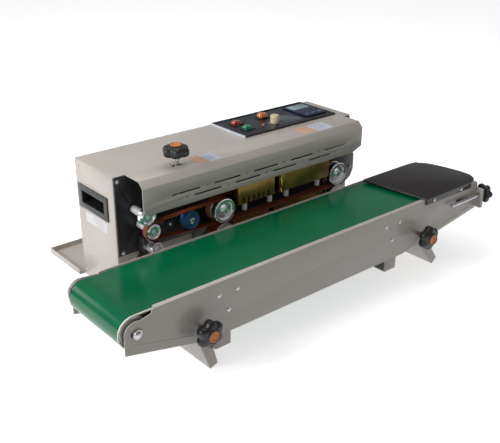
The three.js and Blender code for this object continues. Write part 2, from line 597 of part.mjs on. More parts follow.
function addBlocks() {
  const contact = SEAL.thickness + GAP * 1.5;
  const { y0, y1 } = SEAL;
  for (const { kind, x0, x1, posts, fins } of BLOCKS) {
    const sole = box(x0, x1, y0, y1, NIP_Z + contact, 186);
    const shield = box(x0, x1, 174.5, y0 - 0.6, 170, 204);
    const neck = box(x0, x1, 183, y0 + 1, 172, 186);
    const pins = posts.map((x) => rodZ(x, POST_Y, 3.2, 156, 240, 10));
    const slots = [];
    for (let i = 0; i < fins; i += 1) {
      slots.push(box(x0 + 11 + i * 12, x0 + 15 + i * 12, 172, 180, 168, 182));
    }
    const block = join(sole, shield, neck, ...pins);
    add(`upper_${kind}_block`, slots.length ? cut(block, ...slots) : block, MATERIAL.brass);
    const seat = box(x0, x1, y0, y1, 116, NIP_Z - contact);
    const foot = box(x0 + 8, x1 - 8, y0, PLATE.y0 - GAP, 110, 118);
    add(`lower_${kind}_block`, join(seat, foot), MATERIAL.brass);
  }
  const shelf = box(HANGER.x0, HANGER.x1, HANGER.y0, PLATE.y0 - GAP, HANGER.z, HANGER.z + 4);
  const flange = box(HANGER.x0, HANGER.x1, 217, PLATE.y0 - GAP, HANGER.z - 14, HANGER.z + 1);
  const holes = BLOCKS.flatMap(({ posts }) => posts)
    .map((x) => rodZ(x, POST_Y, 3.8, HANGER.z - 5, HANGER.z + 9, 10));
  add('block_hanger', cut(join(shelf, flange), ...holes), MATERIAL.blackSteel);
}

// ---------------------------------------------------------------- drive and electrics
function addDrive() {
  const frontSprocket = turned(MOTOR.x, MOTOR.z, [[0, CHAIN.conveyorY],
    [CONVEYOR_SPROCKET, CHAIN.conveyorY + 0.4],
    [CONVEYOR_SPROCKET, CHAIN.conveyorY + CHAIN.width - 0.4],
    [0, CHAIN.conveyorY + CHAIN.width]], 24);
  const headSprocket = turned(MOTOR.x, MOTOR.z, [[0, CHAIN.headY],
    [MOTOR.sprocket, CHAIN.headY + 0.4], [MOTOR.sprocket, CHAIN.headY + CHAIN.width - 0.4],
    [0, CHAIN.headY + CHAIN.width]], 24);
  const shaft = rodY(MOTOR.x, MOTOR.z, SHAFT, CHAIN.conveyorY - 1, 262);
  add('output_shaft', join(shaft, frontSprocket, headSprocket), MATERIAL.steel);
  const bore = rodY(MOTOR.x, MOTOR.z, SHAFT + 0.4, 250, 264);
  const gearbox = box(138, 222, 257, 318, 60, 142);
  const motor = rodX(288, 98, 32, 220, 330, ROUND);
  const feet = box(142, 218, 262, 312, CABINET.z0 + SHEET + GAP, 62);
  add('gear_motor', cut(join(gearbox, motor, feet), bore), MATERIAL.steel);
  const at = (x, z, radius) => ({ x, z, radius: radius + GAP });
  const conveyorLoop = [at(ROLLER.headX, ROLLER.z, CONVEYOR_SPROCKET),
    at(MOTOR.x, MOTOR.z, CONVEYOR_SPROCKET)];
  add('conveyor_chain', band(conveyorLoop, CHAIN.thickness, CHAIN.conveyorY,
    CHAIN.conveyorY + CHAIN.width), MATERIAL.steel);
  const headLoop = [at(MOTOR.x, MOTOR.z, MOTOR.sprocket),
    at(WHEEL.leftX, LOWER_Z, WHEEL_SPROCKET)];
  add('head_chain', band(headLoop, CHAIN.thickness, CHAIN.headY, CHAIN.headY + CHAIN.width),
    MATERIAL.steel);
}

function addElectrics() {
  add('control_board', box(480, 660, 300, 302, 60, 150), MATERIAL.board);
  const { x, z, radius } = FAN;
  const frame = box(x - 42, x + 42, 322, CABINET.y1 - SHEET - GAP, z - 42, z + 42);
  const duct = rodY(x, z, radius + 1, 310, 360, ROUND);
  const spider = box(x - 41, x + 41, 322, 325, z - 3, z + 3);
  const seat = rodY(x, z, 13, 322, 325, FINE);
  add('fan_frame', join(cut(frame, duct), spider, seat), MATERIAL.black);
  const blades = [];
  for (let i = 0; i < 7; i += 1) {
    const blade = box(10, radius - 1, 328, 343, -0.9, 0.9);
    blade.translate(0, -335.5, 0).rotateX(0.6).translate(0, 335.5, 0);
    blades.push(blade.rotateY((2 * Math.PI * i) / 7).translate(x, 0, z));
  }
  add('fan_rotor', join(rodY(x, z, 14, 326, 345, FINE), ...blades), MATERIAL.black);
}

// ---------------------------------------------------------------- assembly
addConveyor();
addRollers();
addEndTable();
addLegs();
addTensionKnob();
addBase();
addRearTray();
addCabinet();
addHandleCups();
addHood();
addControlPanel();
addSwitches();
addPowerInlet();
addMountingPlate();
addBandWheels();
addBands();
addGuideRollers();
addPress();
addBlocks();
addDrive();
addElectrics();

sealer.updateMatrixWorld(true);
const bounds = new THREE.Box3().setFromObject(sealer, true);
const centre = bounds.getCenter(new THREE.Vector3());
sealer.position.set(-centre.x, -centre.y, -bounds.min.z);

export default sealer;
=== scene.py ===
import json
import math

import bmesh
import bpy
from bpy.props import (BoolProperty, FloatProperty, FloatVectorProperty, IntProperty,
                       PointerProperty)
from bpy.types import Operator, Panel, PropertyGroup
from mathutils import Matrix, Vector


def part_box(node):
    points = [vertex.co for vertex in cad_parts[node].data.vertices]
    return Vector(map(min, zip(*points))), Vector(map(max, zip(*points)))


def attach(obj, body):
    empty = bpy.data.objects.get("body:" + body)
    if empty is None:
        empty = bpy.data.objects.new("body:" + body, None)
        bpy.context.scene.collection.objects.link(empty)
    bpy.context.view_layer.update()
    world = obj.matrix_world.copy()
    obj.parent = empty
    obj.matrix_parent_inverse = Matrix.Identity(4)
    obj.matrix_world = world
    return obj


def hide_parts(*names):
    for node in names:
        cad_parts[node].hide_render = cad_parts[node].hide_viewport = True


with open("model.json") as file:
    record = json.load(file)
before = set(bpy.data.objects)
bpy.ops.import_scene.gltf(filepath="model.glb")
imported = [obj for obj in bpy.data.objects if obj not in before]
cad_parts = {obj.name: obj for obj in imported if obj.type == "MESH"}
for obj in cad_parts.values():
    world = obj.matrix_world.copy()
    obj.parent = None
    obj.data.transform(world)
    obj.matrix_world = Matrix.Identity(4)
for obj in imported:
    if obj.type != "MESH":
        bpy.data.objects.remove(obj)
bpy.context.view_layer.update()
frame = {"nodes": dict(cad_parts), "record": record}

bl_info = {
    "name": "Continuous Band Sealer",
    "version": (1, 0, 0),
    "blender": (4, 5, 0),
    "location": "3D View > Sidebar > Sealer",
    "description": "Finishes and fine pieces of a table-top continuous band sealer",
    "category": "Object",
}

MM = 0.001
# Lengths below are in millimetres from the conveyor's front left corner at floor level:
# x along the conveyor, y towards the back, z up.
CONVEYOR_WIDTH = 151.5
DATUM = Vector((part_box("conveyor_front_plate")[0].x,
                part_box("conveyor_back_plate")[1].y - CONVEYOR_WIDTH * MM, 0.0))

ROLLER_Z = 120.8
HEAD_X, TAIL_X = 20.4, 790.0
NIP_Z = 145.0
WHEEL_RISE = 23.5
WHEEL_X = {"left": 321.0, "right": 610.0}
WHEEL_Z = {"upper": NIP_Z + WHEEL_RISE, "lower": NIP_Z - WHEEL_RISE}
BAND_OUTER = WHEEL_RISE - 0.15
GUIDE_THICK, SEAL_THICK = 1.8, 0.8
NOSE = (171.0, 171.5, 13.4)
SUPPORT = (176.0, 138.5)
PRESS = (250.0, 169.5)
POST_Y = 181.0
POSTS = {"cooling": (372.0, 433.0), "heating": (475.0, 558.0)}
HOOD_TOP = 264.9
PANEL_TOP = 267.6


def at(x, y, z):
    """A place on the machine in metres, from its millimetres."""
    return DATUM + Vector((x, y, z)) * MM


def body_of_node(node):
    for body, members in frame["record"]["behaviour"]["bodies"].items():
        if node in members:
            return body
    raise RuntimeError(f"no body holds {node}")


def slot_of_node(node):
    for part in frame["record"]["subparts"]:
        if part["node"] == node:
            return part["material_slot"]
    raise RuntimeError(f"no slot for {node}")


# ------------------------------------------------------------------ settings


class SealerColours(PropertyGroup):
    """Base colours of the machine's finishes."""
    ivory: FloatVectorProperty(name="Ivory paint", subtype="COLOR", size=3, min=0, max=1,
                               description="Enamel of the sheet metal",
                               default=(0.585, 0.535, 0.49))
    belt: FloatVectorProperty(name="Conveyor belt", subtype="COLOR", size=3, min=0, max=1,
                              description="Carrying face of the belt",
                              default=(0.0005, 0.150, 0.060))
    band: FloatVectorProperty(name="Bands", subtype="COLOR", size=3, min=0, max=1,
                              description="Sealing bands and guide belts",
                              default=(0.22, 0.048, 0.018))
    table: FloatVectorProperty(name="End table", subtype="COLOR", size=3, min=0, max=1,
                               description="Enamel of the loading table",
                               default=(0.014, 0.0095, 0.009))
    cap: FloatVectorProperty(name="Knob caps", subtype="COLOR", size=3, min=0, max=1,
                             description="Caps in the middle of the star knobs",
                             default=(0.80, 0.23, 0.045))
    press: FloatVectorProperty(name="Press wheel", subtype="COLOR", size=3, min=0, max=1,
                               description="Ribbed wheel under the pressure knob",
                               default=(0.012, 0.115, 0.27))


class SealerSizes(PropertyGroup):
    """Sizes of the fine detail."""
    edge_round: FloatProperty(name="Edge round", unit="LENGTH", default=0.35 * MM, min=0.0,
                              description="Rounding of cut sheet-metal edges")
    tooth_pitch: FloatProperty(name="Tooth pitch", unit="LENGTH", default=3.2 * MM,
                               min=1.0 * MM, description="Spacing of the guide belt teeth")
    tooth_height: FloatProperty(name="Tooth height", unit="LENGTH", default=0.8 * MM,
                                min=0.1 * MM, description="Height of the guide belt teeth")
    link_pitch: FloatProperty(name="Link pitch", unit="LENGTH", default=6.35 * MM,
                              min=2.0 * MM, description="Pitch of the roller chain")
    round_segments: IntProperty(name="Round segments", default=72, min=16, max=128,
                                description="Facets round a turned piece")
    knob_lobes: IntProperty(name="Knob lobes", default=6, min=3, max=10,
                            description="Lobes of a star knob")


class SealerStudio(PropertyGroup):
    """Light and floor."""
    key_power: FloatProperty(name="Key light", default=50.0, min=0.0,
                             description="Power of the soft light at the left, in watts")
    top_power: FloatProperty(name="Top light", default=15.0, min=0.0,
                             description="Power of the overhead light, in watts")
    ambient: FloatProperty(name="Ambient", default=0.28, min=0.0,
                           description="Strength of the room's light")
    show_floor: BoolProperty(name="Floor", default=True,
                             description="Put a plain pale floor under the machine")


# ------------------------------------------------------------------ finishes
_finishes = {}


class Nodes:
    """Short hand for building one node tree."""

    def __init__(self, tree):
        self.tree = tree

    def add(self, kind, **values):
        node = self.tree.nodes.new(kind)
        for key, value in values.items():
            setattr(node, key, value)
        return node

    def link(self, source, target):
        self.tree.links.new(source, target)

    def noise(self, coords, scale, detail=3.0):
        node = self.add("ShaderNodeTexNoise")
        node.inputs["Scale"].default_value = scale
        node.inputs["Detail"].default_value = detail
        self.link(coords, node.inputs["Vector"])
        return node.outputs["Fac"]

    def spread(self, value, low, high, start=0.3, end=0.7):
        node = self.add("ShaderNodeMapRange")
        node.inputs["From Min"].default_value = start
        node.inputs["From Max"].default_value = end
        node.inputs["To Min"].default_value = low
        node.inputs["To Max"].default_value = high
        self.link(value, node.inputs["Value"])
        return node.outputs["Result"]

    def blend(self, factor, first, second):
        node = self.add("ShaderNodeMix", data_type="RGBA")
        self.link(factor, node.inputs["Factor"])
        for socket, value in ((node.inputs[6], first), (node.inputs[7], second)):
            if isinstance(value, tuple):
                socket.default_value = (*value, 1.0)
            else:
                self.link(value, socket)
        return node.outputs[2]


def scaled(colour, factor):
    return tuple(min(1.0, max(0.0, channel * factor)) for channel in colour)


def finish(name, colour, roughness, metallic=0.0, mottle=0.08, patches=14.0, grain=700.0,
           stretch=(1.0, 1.0, 1.0), bump=0.12, spread=0.07, scuff=0.0, scuff_colour=None,
           coat=0.0, weave=0.0, weave_scale=900.0, transmission=0.0, specular=0.5):
    """A procedural finish: broad patches of tone, a fine grain, and scuffs where asked."""
    if name in _finishes:
        return _finishes[name]
    colour = tuple(colour)
    material = bpy.data.materials.new(name)
    material.use_nodes = True
    n = Nodes(material.node_tree)
    shader = material.node_tree.nodes["Principled BSDF"]
    shader.inputs["Metallic"].default_value = metallic
    shader.inputs["Coat Weight"].default_value = coat
    shader.inputs["Coat Roughness"].default_value = 0.08
    shader.inputs["Transmission Weight"].default_value = transmission
    shader.inputs["Specular IOR Level"].default_value = specular
    coords = n.add("ShaderNodeTexCoord").outputs["Object"]
    mapping = n.add("ShaderNodeMapping")
    mapping.inputs["Scale"].default_value = stretch
    n.link(coords, mapping.inputs["Vector"])
    broad = n.noise(coords, patches, 4.0)
    fine = n.noise(mapping.outputs["Vector"], grain, 2.0)
    tone = n.blend(n.spread(broad, 0.0, 1.0), scaled(colour, 1 - mottle),
                   scaled(colour, 1 + mottle))
    tone = n.blend(n.spread(fine, 0.0, 0.5), tone, scaled(colour, 1 - mottle * 0.6))
    rough = n.spread(broad, max(0.03, roughness - spread), min(1.0, roughness + spread))
    if scuff:
        marks = n.noise(mapping.outputs["Vector"], patches * 4.5, 8.0)
        worn = n.spread(marks, 0.0, scuff, 0.60, 0.74)
        tone = n.blend(worn, tone, scuff_colour or scaled(colour, 1.5))
    n.link(tone, shader.inputs["Base Color"])
    n.link(rough, shader.inputs["Roughness"])
    height = fine
    if weave:
        threads = n.add("ShaderNodeTexWave", wave_type="BANDS", bands_direction="DIAGONAL")
        threads.inputs["Scale"].default_value = weave_scale
        threads.inputs["Distortion"].default_value = 0.4
        n.link(coords, threads.inputs["Vector"])
        mix = n.add("ShaderNodeMath", operation="MULTIPLY_ADD")
        mix.inputs[1].default_value = weave
        n.link(threads.outputs["Fac"], mix.inputs[0])
        n.link(fine, mix.inputs[2])
        height = mix.outputs[0]
    relief = n.add("ShaderNodeBump")
    relief.inputs["Strength"].default_value = bump
    relief.inputs["Distance"].default_value = 0.0003
    n.link(height, relief.inputs["Height"])
    n.link(relief.outputs["Normal"], shader.inputs["Normal"])
    _finishes[name] = material
    return material


def finish_for(slot):
    """The finish that goes with a material slot of the record."""
    c = bpy.context.scene.sealer_colours
    table = {
        "ivory_paint": dict(colour=c.ivory, roughness=0.36, mottle=0.035, patches=7.0,
                            grain=1500.0, bump=0.05, coat=0.15, scuff=0.25,
                            scuff_colour=scaled(c.ivory, 0.82)),
        "black_steel": dict(colour=(0.012, 0.012, 0.015), roughness=0.34, mottle=0.25,
                            grain=1200.0, bump=0.1, scuff=0.3,
                            scuff_colour=(0.05, 0.05, 0.055)),
        "black_table": dict(colour=c.table, roughness=0.3, mottle=0.22, patches=11.0,
                            grain=900.0, bump=0.14, coat=0.1, scuff=0.25,
                            scuff_colour=(0.04, 0.03, 0.027), specular=0.4),
        "navy_panel": dict(colour=(0.006, 0.012, 0.020), roughness=0.3, mottle=0.18,
                           grain=1100.0, bump=0.05),
        "green_belt": dict(colour=c.belt, roughness=0.2, mottle=0.16, patches=9.0,
                           grain=520.0, stretch=(0.25, 1.0, 1.0), bump=0.05, coat=0.0,
                           scuff=0.16, scuff_colour=scaled(c.belt, 1.5),
                           specular=0.34),
        "brown_band": dict(colour=c.band, roughness=0.46, mottle=0.3, patches=60.0,
                           grain=900.0, bump=0.3, weave=0.8, weave_scale=420.0),
        "chrome": dict(colour=(0.88, 0.89, 0.91), roughness=0.19, metallic=1.0,
                       mottle=0.04, patches=40.0, grain=900.0, bump=0.012, spread=0.05),
        "steel": dict(colour=(0.52, 0.53, 0.55), roughness=0.31, metallic=1.0, mottle=0.12,
                      patches=30.0, grain=650.0, stretch=(0.15, 1.0, 1.0), bump=0.08),
        "brass": dict(colour=(0.30, 0.20, 0.055), roughness=0.38, metallic=1.0, mottle=0.35,
                      patches=34.0, grain=800.0, stretch=(0.12, 1.0, 1.0), bump=0.1,
                      scuff=0.5, scuff_colour=(0.16, 0.11, 0.045)),
        "blue_plastic": dict(colour=c.press, roughness=0.3, mottle=0.15, patches=50.0,
                             grain=900.0, bump=0.06, coat=0.3),
        "black_plastic": dict(colour=(0.012, 0.012, 0.013), roughness=0.36, mottle=0.25,
                              patches=30.0, grain=1300.0, bump=0.12),
        "white_plastic": dict(colour=(0.72, 0.71, 0.67), roughness=0.4, mottle=0.06,
                              patches=40.0, grain=1200.0, bump=0.05),
        "cream_plastic": dict(colour=(0.80, 0.66, 0.46), roughness=0.28, mottle=0.05,
                              patches=60.0, grain=1200.0, bump=0.04, coat=0.3),
        "red_lens": dict(colour=(0.50, 0.012, 0.016), roughness=0.16, mottle=0.12,
                         patches=90.0, bump=0.02, coat=0.8, transmission=0.2),
        "green_lens": dict(colour=(0.008, 0.26, 0.11), roughness=0.16, mottle=0.12,
                           patches=90.0, bump=0.02, coat=0.8, transmission=0.2),
        "orange_lens": dict(colour=(0.78, 0.21, 0.02), roughness=0.18, mottle=0.1,
                            patches=90.0, bump=0.02, coat=0.8, transmission=0.15),
        "controller_blue": dict(colour=(0.005, 0.013, 0.050), roughness=0.34, mottle=0.12,
                                grain=1200.0, bump=0.05),
        "green_board": dict(colour=(0.02, 0.15, 0.06), roughness=0.42, mottle=0.2,
                            patches=70.0, grain=1000.0, bump=0.1),
    }
    return finish(slot, **table[slot])


def extra_finish(name):
    """Finishes of small details that share a record slot with something else."""
    c = bpy.context.scene.sealer_colours
    table = {
        "knob_cap": dict(colour=c.cap, roughness=0.38, mottle=0.1, patches=80.0, bump=0.05),
        # Pale belt fabric, which also serves as a painted highlight on the front strip of the
        # belt's carrying face.
        "pale_fabric_and_edge_highlight": dict(colour=(0.80, 0.77, 0.68), roughness=0.6, mottle=0.1,
                          patches=40.0, bump=0.2, weave=0.6),
        "blackened_brass": dict(colour=(0.012, 0.014, 0.028), roughness=0.42, metallic=0.4,
                                mottle=0.3, patches=40.0, bump=0.12),
        "label_white": dict(colour=(0.80, 0.80, 0.83), roughness=0.45, mottle=0.03,
                            patches=40.0, bump=0.02),
        "label_grey": dict(colour=(0.42, 0.42, 0.46), roughness=0.5, mottle=0.1,
                           patches=60.0, bump=0.02),
        "label_peach": dict(colour=(0.72, 0.44, 0.30), roughness=0.45, mottle=0.08,
                            patches=60.0, bump=0.02),
        "label_pale_blue": dict(colour=(0.62, 0.67, 0.78), roughness=0.45, mottle=0.05,
                                patches=60.0, bump=0.02),
        "panel_line": dict(colour=(0.50, 0.53, 0.55), roughness=0.35, mottle=0.06,
                           patches=60.0, bump=0.04),
        "bright_shaft": dict(colour=(0.86, 0.86, 0.88), roughness=0.42, metallic=0.45,
                             mottle=0.06, patches=70.0, bump=0.03),
        "trim_metal": dict(colour=(0.62, 0.68, 0.74), roughness=0.3, mottle=0.06,
                           patches=60.0, bump=0.04),
        "key_cap": dict(colour=(0.10, 0.15, 0.24), roughness=0.4, mottle=0.08,
                        patches=80.0, bump=0.03),
        "dial_plate": dict(colour=(0.06, 0.085, 0.115), roughness=0.3, mottle=0.12,
                           patches=60.0, bump=0.04, coat=0.3),
        "display_window": dict(colour=(0.34, 0.50, 0.52), roughness=0.16, mottle=0.06,
                               patches=60.0, bump=0.01, coat=0.6),
        "display_digit": dict(colour=(0.02, 0.06, 0.07), roughness=0.3, mottle=0.1,
                              patches=60.0, bump=0.01),
        "lamp_amber": dict(colour=(0.20, 0.075, 0.02), roughness=0.2, mottle=0.1,
                           patches=90.0, bump=0.02, coat=0.6),
        "gilt_wire": dict(colour=(0.72, 0.42, 0.14), roughness=0.25, metallic=1.0,
                          mottle=0.15, patches=80.0, bump=0.05),
    }
    return finish(name, **table[name])


# ------------------------------------------------------------------ shaping


def settle(piece, body, replaced=()):
    """A finished piece rides on its body and stands for its nodes."""
    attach(piece, body)
    if replaced:
        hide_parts(*replaced)
    return piece


def mark_sharp(mesh, degrees):
    """Faces shade smoothly, and edges that turn by more than the angle stay crisp."""
    work = bmesh.new()
    work.from_mesh(mesh)
    limit = math.radians(degrees)
    for face in work.faces:
        face.smooth = True
    for edge in work.edges:
        if len(edge.link_faces) == 2:
            edge.smooth = edge.calc_face_angle(0.0) < limit
    work.to_mesh(mesh)
    work.free()


def bake(piece):
    """Modifiers become plain mesh."""
    graph = bpy.context.evaluated_depsgraph_get()
    mesh = bpy.data.meshes.new_from_object(piece.evaluated_get(graph))
    piece.modifiers.clear()
    piece.data = mesh
    return mesh


def piece_from(name, work, materials, body, replaced=(), sharp=32.0, ease=0.0,
               ease_segments=2):
    """A bmesh becomes a finished piece."""
    bmesh.ops.remove_doubles(work, verts=work.verts, dist=1e-7)
    bmesh.ops.recalc_face_normals(work, faces=work.faces)
    mesh = bpy.data.meshes.new(name)
    work.to_mesh(mesh)
    work.free()
    piece = bpy.data.objects.new(name, mesh)
    bpy.context.scene.collection.objects.link(piece)
    for material in materials if isinstance(materials, (list, tuple)) else [materials]:
        mesh.materials.append(material)
    if ease:
        add_ease(piece, ease, ease_segments)
        mesh = bake(piece)
    mark_sharp(mesh, sharp)
    return settle(piece, body, replaced)


def add_ease(piece, width, segments):
    rounding = piece.modifiers.new("eased edges", "BEVEL")
    rounding.width = width
    rounding.segments = segments
    rounding.limit_method = "ANGLE"
    rounding.angle_limit = math.radians(38)
    rounding.use_clamp_overlap = True


def eased_copy(node, ease, material=None, segments=2, sharp=32.0):
    """A node's own shape with rounded edges and smooth curves, standing for the node."""
    work = bmesh.new()
    work.from_mesh(frame["nodes"][node].data)
    bmesh.ops.remove_doubles(work, verts=work.verts, dist=2e-6)
    bmesh.ops.dissolve_limit(work, angle_limit=math.radians(0.5), verts=work.verts,
                             edges=work.edges)
    slot = slot_of_node(node)
    return piece_from(f"{node}_finished", work, material or finish_for(slot),
                      body_of_node(node), (node,), sharp, ease, segments)


AXIS_PLACE = {
    "X": lambda centre, r, a, s: at(s, centre[0] + r * math.cos(a),
                                    centre[1] + r * math.sin(a)),
    "Y": lambda centre, r, a, s: at(centre[0] + r * math.cos(a), s,
                                    centre[1] + r * math.sin(a)),
    "Z": lambda centre, r, a, s: at(centre[0] + r * math.cos(a),
                                    centre[1] + r * math.sin(a), s),
}


def lathe(work, axis, centre, profile, segments=None, shape=None, material=0):
    """Turns a profile of (radius, distance along the axis) about an axis."""
    segments = segments or bpy.context.scene.sealer_sizes.round_segments
    place = AXIS_PLACE[axis]
    rings = []
    for index, (radius, along) in enumerate(profile):
        if radius < 1e-6:
            rings.append([work.verts.new(place(centre, 0.0, 0.0, along))])
            continue
        ring = []
        for step in range(segments):
            angle = 2 * math.pi * step / segments
            reach = radius * (shape(angle, index) if shape else 1.0)
            ring.append(work.verts.new(place(centre, reach, angle, along)))
        rings.append(ring)
    for low, high in zip(rings, rings[1:]):
        for step in range(segments):
            after = (step + 1) % segments
            if len(low) == 1 and len(high) == 1:
                continue
            if len(low) == 1:
                corners = (low[0], high[step], high[after])
            elif len(high) == 1:
                corners = (low[step], low[after], high[0])
            else:
                corners = (low[step], low[after], high[after], high[step])
            work.faces.new(corners).material_index = material


def block(work, x, y, z, material=0):
    """A box between pairs of x, y and z."""
    corners = [work.verts.new(at(a, b, c)) for a in x for b in y for c in z]
    for face in ((0, 1, 3, 2), (4, 6, 7, 5), (0, 4, 5, 1), (2, 3, 7, 6), (0, 2, 6, 4),
                 (1, 5, 7, 3)):
        work.faces.new([corners[i] for i in face]).material_index = material


def rod(work, path, radius, sides=12, material=0):
    """A round wire along a list of places in millimetres."""
    points = [at(*p) for p in path]
    rings = []
    side = None
    for index, point in enumerate(points):
        ahead = points[min(index + 1, len(points) - 1)] - points[max(index - 1, 0)]
        ahead.normalize()
        if side is None:
            side = ahead.orthogonal().normalized()
        side = (side - ahead * side.dot(ahead)).normalized()
        other = ahead.cross(side)
        rings.append([work.verts.new(point + (side * math.cos(a) + other * math.sin(a))
                                     * radius * MM)
                      for a in (2 * math.pi * k / sides for k in range(sides))])
    for low, high in zip(rings, rings[1:]):
        for k in range(sides):
            work.faces.new((low[k], low[(k + 1) % sides], high[(k + 1) % sides],
                            high[k])).material_index = material
    work.faces.new(rings[0][::-1]).material_index = material
    work.faces.new(rings[-1]).material_index = material


def loop_path(circles, arc_steps, run_step):
    """Closed path round circles (x, z, radius): a list of (x, z, outward x, outward z)."""
    joins = []
    count = len(circles)
    for i in range(count):
        (x0, z0, r0), (x1, z1, r1) = circles[i], circles[(i + 1) % count]
        dx, dz = x1 - x0, z1 - z0
        reach = math.hypot(dx, dz)
        dx, dz = dx / reach, dz / reach
        lean = (r0 - r1) / reach
        flat = math.sqrt(1 - lean * lean)
        joins.append((dz * flat + dx * lean, -dx * flat + dz * lean))
    path = []
    for i in range(count):
        x, z, radius = circles[i]
        start = math.atan2(joins[i - 1][1], joins[i - 1][0])
        end = math.atan2(joins[i][1], joins[i][0])
        while end < start:
            end += 2 * math.pi
        for k in range(arc_steps + 1):
            a = start + (end - start) * k / arc_steps
            path.append((x + radius * math.cos(a), z + radius * math.sin(a),
                         math.cos(a), math.sin(a)))
        nx, nz = joins[i]
        x1, z1, r1 = circles[(i + 1) % count]
        a, b = (x + radius * nx, z + radius * nz), (x1 + r1 * nx, z1 + r1 * nz)
        pieces = max(1, int(math.hypot(b[0] - a[0], b[1] - a[1]) / run_step))
        path += [(a[0] + (b[0] - a[0]) * k / pieces, a[1] + (b[1] - a[1]) * k / pieces,
                  nx, nz) for k in range(1, pieces)]
    return path


def sweep(work, path, section, materials):
    """Carries a closed section of (y, height) round a closed path."""
    rings = [[work.verts.new(at(x + nx * h, y, z + nz * h)) for y, h in section]
             for x, z, nx, nz in path]
    for low, high in zip(rings, rings[1:] + rings[:1]):
        for k in range(len(section)):
            after = (k + 1) % len(section)
            work.faces.new((low[k], low[after], high[after],
                            high[k])).material_index = materials[k]


def strip_section(y0, y1, inner, outer, ease):
    """Closed section of a belt, with its outer corners eased."""
    return [(y0, inner), (y0, outer - ease), (y0 + ease, outer), (y1 - ease, outer),
            (y1, outer - ease), (y1, inner)]


# ------------------------------------------------------------------ repeated shapes


def repeat_tree(name, inputs, build):
    """A node tree that puts one shape at every point, turned by two stored directions."""
    tree = bpy.data.node_groups.new(name, "GeometryNodeTree")
    tree.interface.new_socket("Geometry", in_out="INPUT", socket_type="NodeSocketGeometry")
    for label, kind, default in inputs:
        socket = tree.interface.new_socket(label, in_out="INPUT", socket_type=kind)
        if default is not None:
            socket.default_value = default
    tree.interface.new_socket("Geometry", in_out="OUTPUT", socket_type="NodeSocketGeometry")
    n = Nodes(tree)
    given = n.add("NodeGroupInput")
    shape = build(n, given)
    turn = n.add("FunctionNodeAxesToRotation", primary_axis="Z", secondary_axis="X")
    for label, socket in (("facing", turn.inputs[0]), ("along", turn.inputs[1])):
        stored = n.add("GeometryNodeInputNamedAttribute", data_type="FLOAT_VECTOR")
        stored.inputs["Name"].default_value = label
        n.link(stored.outputs["Attribute"], socket)
    put = n.add("GeometryNodeInstanceOnPoints")
    n.link(given.outputs["Geometry"], put.inputs["Points"])
    n.link(shape, put.inputs["Instance"])
    n.link(turn.outputs[0], put.inputs["Rotation"])
    real = n.add("GeometryNodeRealizeInstances")
    n.link(put.outputs["Instances"], real.inputs["Geometry"])
    paint = n.add("GeometryNodeSetMaterial")
    n.link(real.outputs["Geometry"], paint.inputs["Geometry"])
    n.link(given.outputs["Finish"], paint.inputs["Material"])
    n.link(paint.outputs["Geometry"], n.add("NodeGroupOutput").inputs["Geometry"])
    return tree


def combine(n, *values):
    node = n.add("ShaderNodeCombineXYZ")
    for index, value in enumerate(values):
        if isinstance(value, (int, float)):
            node.inputs[index].default_value = value
        else:
            n.link(value, node.inputs[index])
    return node.outputs[0]


def moved(n, geometry, scale=None, shift=None, rotation=None):
    node = n.add("GeometryNodeTransform")
    n.link(geometry, node.inputs["Geometry"])
    if scale is not None:
        n.link(scale, node.inputs["Scale"])
    if shift is not None:
        n.link(shift, node.inputs["Translation"])
    if rotation is not None:
        node.inputs["Rotation"].default_value = rotation
    return node.outputs["Geometry"]


def build_bolt(n, given):
    """A domed head on a thin washer, with its foot at the point."""
    dome = n.add("GeometryNodeMeshUVSphere")
    dome.inputs["Segments"].default_value = 20
    dome.inputs["Rings"].default_value = 10
    dome.inputs["Radius"].default_value = 1.0
    head = moved(n, dome.outputs["Mesh"],
                 combine(n, given.outputs["Head Radius"], given.outputs["Head Radius"],
                         given.outputs["Head Height"]))
    washer = n.add("GeometryNodeMeshCylinder")
    washer.inputs["Vertices"].default_value = 24
    n.link(given.outputs["Washer Radius"], washer.inputs["Radius"])
    washer.inputs["Depth"].default_value = 1.0 * MM
    both = n.add("GeometryNodeJoinGeometry")
    n.link(head, both.inputs["Geometry"])
    n.link(washer.outputs["Mesh"], both.inputs["Geometry"])
    return both.outputs["Geometry"]


def build_tooth(n, given):
    """One belt tooth, long across the belt."""
    cube = n.add("GeometryNodeMeshCube")
    n.link(combine(n, given.outputs["Length"], given.outputs["Width"],
                   given.outputs["Height"]), cube.inputs["Size"])
    return cube.outputs["Mesh"]


def build_link(n, given):
    """A chain roller between two side plates."""
    roller = n.add("GeometryNodeMeshCylinder")
    roller.inputs["Vertices"].default_value = 12
    n.link(given.outputs["Roller Radius"], roller.inputs["Radius"])
    n.link(given.outputs["Width"], roller.inputs["Depth"])
    turned = moved(n, roller.outputs["Mesh"], rotation=(math.pi / 2, 0.0, 0.0))
    both = n.add("GeometryNodeJoinGeometry")
    n.link(turned, both.inputs["Geometry"])
    for side in (-1.0, 1.0):
        plate = n.add("GeometryNodeMeshCube")
        n.link(combine(n, given.outputs["Plate Length"], 0.7 * MM,
                       given.outputs["Plate Height"]), plate.inputs["Size"])
        offset = n.add("ShaderNodeMath", operation="MULTIPLY")
        offset.inputs[1].default_value = side * 0.42
        n.link(given.outputs["Width"], offset.inputs[0])
        n.link(moved(n, plate.outputs["Mesh"], shift=combine(n, 0.0, offset.outputs[0], 0.0)),
               both.inputs["Geometry"])
    return both.outputs["Geometry"]


